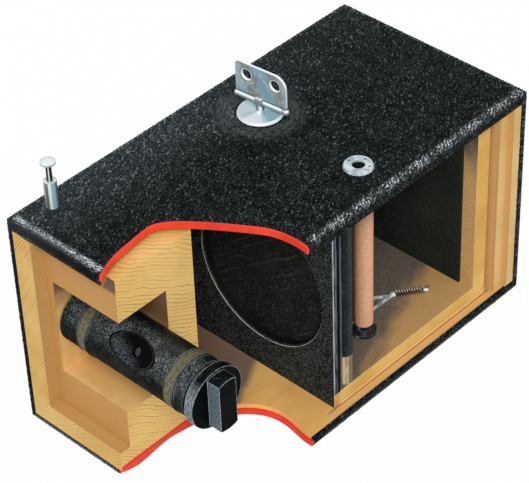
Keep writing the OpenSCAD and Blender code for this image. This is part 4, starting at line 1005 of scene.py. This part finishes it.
ebonite = blackened("ebonite", tone=(30, 33, 35), haze=(42, 46, 49), flecks=0.25, edge_share=0.6,
                    roughness=(0.22, 0.4), gloss=0.08,
                    extra=striped(0.2, (-0.66, -0.44, (112, 128, 138), 0.9), (0.5, 0.62, (70, 78, 84), 0.5)))
dress(ebonite, "roller_right", "roller_left")
dress(metal("sleeve_brass", (206, 182, 146), (162, 142, 110), (112, 92, 62), metallic=0.35,
            roughness=(0.4, 0.6), scale=900, stretch=(2, 2, 0.3), edge_colour=(240, 220, 170),
            extra=striped(0.2, (-1.2, -0.6, (112, 94, 76), 0.85), (-0.35, -0.1, (232, 220, 196), 0.8),
                          (0.45, 1.2, (112, 98, 82), 0.85))), "roller_sleeves")


# ----------------------------------------
# Film spools. Turned beech cores, waxed to a copper brown, with painted shade at the top, between
# black flanged hubs striped with painted light, their rims painted pale as wear and as painted highlight.


def spool_wood():
    """Copper-brown turned wood: fine rings of tool marks round it, pores, and a top darkened with painted
    shade.
    """
    material, place, _ = start("spool_wood")
    marks = noise(stretched(place, (0.25, 0.25, 1)), 3200, 3, 0.65)
    pores = use(pebbles, Vector=place, Size=0.4 * MM, Flecks=0.4)
    base = blend(ramp(marks, 0.35, 0.65), (228, 174, 138), (206, 150, 114))
    base = blend(pores["Fleck"] * 0.5, base, (240, 204, 174))
    base = blend(ramp(pores["Mottle"], 0.5, 0.75, 0, 0.5), base, (172, 112, 78))
    # Painted shade towards the top, under the holder's top.
    base = blend(step(place.z, 58, 70, 0, 0.85), base, (112, 90, 74))
    return finish(material, base, marks, (0.42, 0.6), marks, 0.3, 0.05, Specular_IOR_Level=0.35)


dress(spool_wood(), "supply_core", "wind_core")
dress(ebonite, "supply_hubs", "wind_hubs")


# ----------------------------------------
# Winding key. Stamped steel: a spun disc and post on the shaft, a hinge rod, and a flag with two
# finger holes rolled round the rod. The plating is painted in patches of blue and grey as reflections,
# with painted highlights and shade.


rod_at, rod_axis = joints["flag_fold"]["pos_m"], joints["flag_fold"]["axis"]
rod_turn = math.degrees(math.atan2(rod_axis[1], rod_axis[0]))
holes_along, hole_above, hole_r = (-5.15 * MM, 6.95 * MM), 9.4 * MM, 2.5


def tube_light(base, up, share):
    """Light on top of a level tube, grey-blue on its side and dark below."""
    tube = blend(ramp(up, 0.35, 0.6), (150, 166, 172), (238, 243, 245))
    tube = blend(ramp(up, -0.1, -0.45), tube, (58, 64, 66))
    return blend(share, base, tube)


def rod_seam(place):
    """Painted shade in the seam where the flag leaves its knuckles."""
    up = place.z - rod_at[2]
    return step(up, 1.1, 1.2) * step(up, 1.8, 1.6)


def flag_patches(base, place, normal):
    """Painted reflections: soft patches along the flag, light blue, grey, blue and grey; painted shade in the
    seam over the rod and round the finger holes, white highlight rings round the holes, white highlight edges
    and painted light on the knuckles."""
    local = stretched(place, (1, 1, 1), (0, 0, rod_turn), tuple(rod_at))
    wave = noise(local, 150, 5, 0.7, 0.5) * (10 * MM) + local.x + local.z * 0.3 - 6.5 * MM
    patches = ((-6, 0, (142, 146, 144)), (0, 6, (138, 176, 190)), (6, 10.5, (150, 154, 152)))
    for first, last, colour in patches:
        base = blend(step(wave, first - 1.1, first + 1.1) * step(wave, last + 1.1, last - 1.1), base, colour)
    pale = ramp(noise(place, 240, 5, 0.7, 0.3), 0.5, 0.68)
    base = blend(pale * 0.7, base, (206, 217, 220))
    dark = ramp(noise(local, 330, 4, 0.7, 0.3), 0.58, 0.7)
    base = blend(dark * 0.6, base, (88, 92, 90))
    base = blend(rod_seam(place), base, (36, 38, 39))
    for along in holes_along:
        reach = stretched(local, (1, 0, 1), place=(along, 0, hole_above)).vector("LENGTH")
        base = blend(step(reach, hole_r + 0.4, hole_r + 0.1, 0, 0.7), base, (70, 74, 74))
        base = blend(step(reach, hole_r + 0.05, hole_r - 0.05), base, (236, 242, 244))
    faces = stretched(normal, (1, 1, 1), (0, 0, rod_turn))
    edge = abs(faces.x).larger(faces.z)
    above = step(local.z, 1.8, 2.2)
    base = blend(ramp(edge, 0.6, 0.8) * above, base, (240, 245, 246))
    return tube_light(base, faces.z, step(local.z, 1.25, 1.15))


def disc_wedges(base, place, normal):
    """Painted wedges of light on the spun disc, one white and one blue among them, a painted white highlight
    round its rim, and painted light and shade on the post.
    """
    local = stretched(place, (1, 1, 0), place=tuple(key_at))
    way = local.vector("NORMALIZE")
    low = step(place.z - case_high[2], 1.6, 1.3)
    wedges = (((0.35, -0.94, 0), (238, 244, 246), 0.955), ((0.99, 0.13, 0), (128, 168, 186), 0.93),
              ((-0.85, -0.52, 0), (206, 220, 226), 0.95), ((-0.6, 0.8, 0), (120, 140, 148), 0.9))
    for towards, colour, width in wedges:
        rough = noise(way, 9, 3, 0.7) * 0.16 + way.vector("DOT_PRODUCT", towards) - 0.08
        base = blend(ramp(rough, width - 0.16, width + 0.02) * low * 0.85, base, colour)
    base = blend(step(local.vector("LENGTH"), 7.5, 7.7) * low, base, (240, 245, 246))
    side, _ = side_of(normal)
    post = blend(ramp(side, -0.5, -0.2), (120, 130, 134), (232, 237, 238))
    post = blend(ramp(side, 0.3, 0.6), post, (84, 90, 92))
    return blend(1 - low, base, post)


def rod_light(base, place, normal):
    """Light on top of the rod, dark below."""
    return tube_light(base, normal.z, 0.85)


def key_metal(name, light, dark, extra, spot_share=0.3, edge_spared=None):
    """Plated steel of the key."""
    return metal(name, light, dark, (82, 92, 96), metallic=0.12, roughness=(0.35, 0.55), scale=230,
                 spot_share=spot_share, edge_colour=(240, 246, 248), edge_share=1, edge_radius=0.25,
                 extra=extra, edge_spared=edge_spared)


dress(key_metal("key_shaft_steel", (182, 210, 219), (168, 200, 211), disc_wedges), "key_shaft")
dress(key_metal("key_flag_steel", (168, 194, 203), (150, 182, 194), flag_patches, 0.25, rod_seam), "key_flag")
dress(key_metal("key_rod_nickel", (196, 206, 210), (150, 162, 168), rod_light), "key_rod")


# ----------------------------------------
# Ring escutcheon. A turned nickel ring on the top, over the supply spool, held by three small
# dark steel screws.

dress(metal("ring_nickel", (206, 220, 226), (150, 168, 176), (96, 104, 108), metallic=0.25,
            roughness=(0.35, 0.5), scale=330, spot_share=0.4, edge_share=0.9, edge_radius=0.25), "ring_plate")
dress(metal("screw_steel", (60, 62, 64), (34, 36, 38), (20, 20, 20), metallic=0.6), "ring_screws")


# ----------------------------------------
# Spool brake. A flat steel lever bent at its middle, pulled against the spool's flange by a
# close spring of dark wire between two ferrules.

dress(metal("brake_steel", (222, 230, 233), (138, 146, 149), (52, 56, 58), scale=600, edge_share=1,
            spot_share=0.6), "brake_lever")
dress(metal("peg_nickel", (206, 212, 212), (140, 144, 142), (88, 90, 88), metallic=0.7, scale=700),
      "spring_peg")


def coil_light(base, place, normal):
    """A bright line along the top of each turn."""
    return blend(ramp(normal.z, 0.6, 0.85), base, (236, 240, 241))


def helix_wire(first, last, turns, mean_r, wire_r, lead, sides=10, per_turn=28):
    """Wire along a path: straight in at the first end, a helix about the line between the ends, straight out.
    The path's points carry a circle of the wire's radius, square to the path."""
    length = np.linalg.norm(last - first)
    axis = (last - first) / length
    across = np.cross(axis, [0, 0, 1.0])
    across /= np.linalg.norm(across)
    down = np.cross(axis, across)
    count = int(turns * per_turn) + 1
    angle = np.linspace(0, 2 * np.pi * turns, count)
    run = np.linspace(lead, length - lead, count)
    run = np.concatenate([[0.0], run, [length]])
    angle = np.concatenate([[0.0], angle, [angle[-1]]])
    middle = first + np.outer(run, axis)
    path = middle + mean_r * (np.outer(np.cos(angle), down) * -1 + np.outer(np.sin(angle), across))
    tangent = np.gradient(path, axis=0)
    tangent /= np.linalg.norm(tangent, axis=1, keepdims=True)
    out = path - middle
    out -= tangent * np.sum(out * tangent, axis=1, keepdims=True)
    out /= np.linalg.norm(out, axis=1, keepdims=True)
    side = np.cross(tangent, out)
    turn = np.linspace(0, 2 * np.pi, sides, endpoint=False)
    return (path[:, None, :] + wire_r * (np.cos(turn)[None, :, None] * out[:, None, :]
                                         + np.sin(turn)[None, :, None] * side[:, None, :]))


spring_low, spring_high = (np.array(p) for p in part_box("brake_spring"))
spring_turn = math.radians(53.3)
spring_way = np.array([math.cos(spring_turn), math.sin(spring_turn), 0])
spring_middle = (spring_low + spring_high) / 2
spring_d, spring_wire = 2.5 * MM, 0.5 * MM
spring_l = 10.3 * MM
spring = grid_object(
    "spring_wire",
    helix_wire(spring_middle - spring_way * spring_l / 2, spring_middle + spring_way * spring_l / 2, 10,
               (spring_d - spring_wire) / 2, spring_wire / 2, spring_wire),
    metal("spring_dark", (60, 64, 66), (42, 45, 46), (24, 26, 27), metallic=0.3, scale=900,
          edge_share=0, roughness=(0.2, 0.35), extra=coil_light),
    closed=(False, True))
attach(spring, "case")
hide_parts("brake_spring")
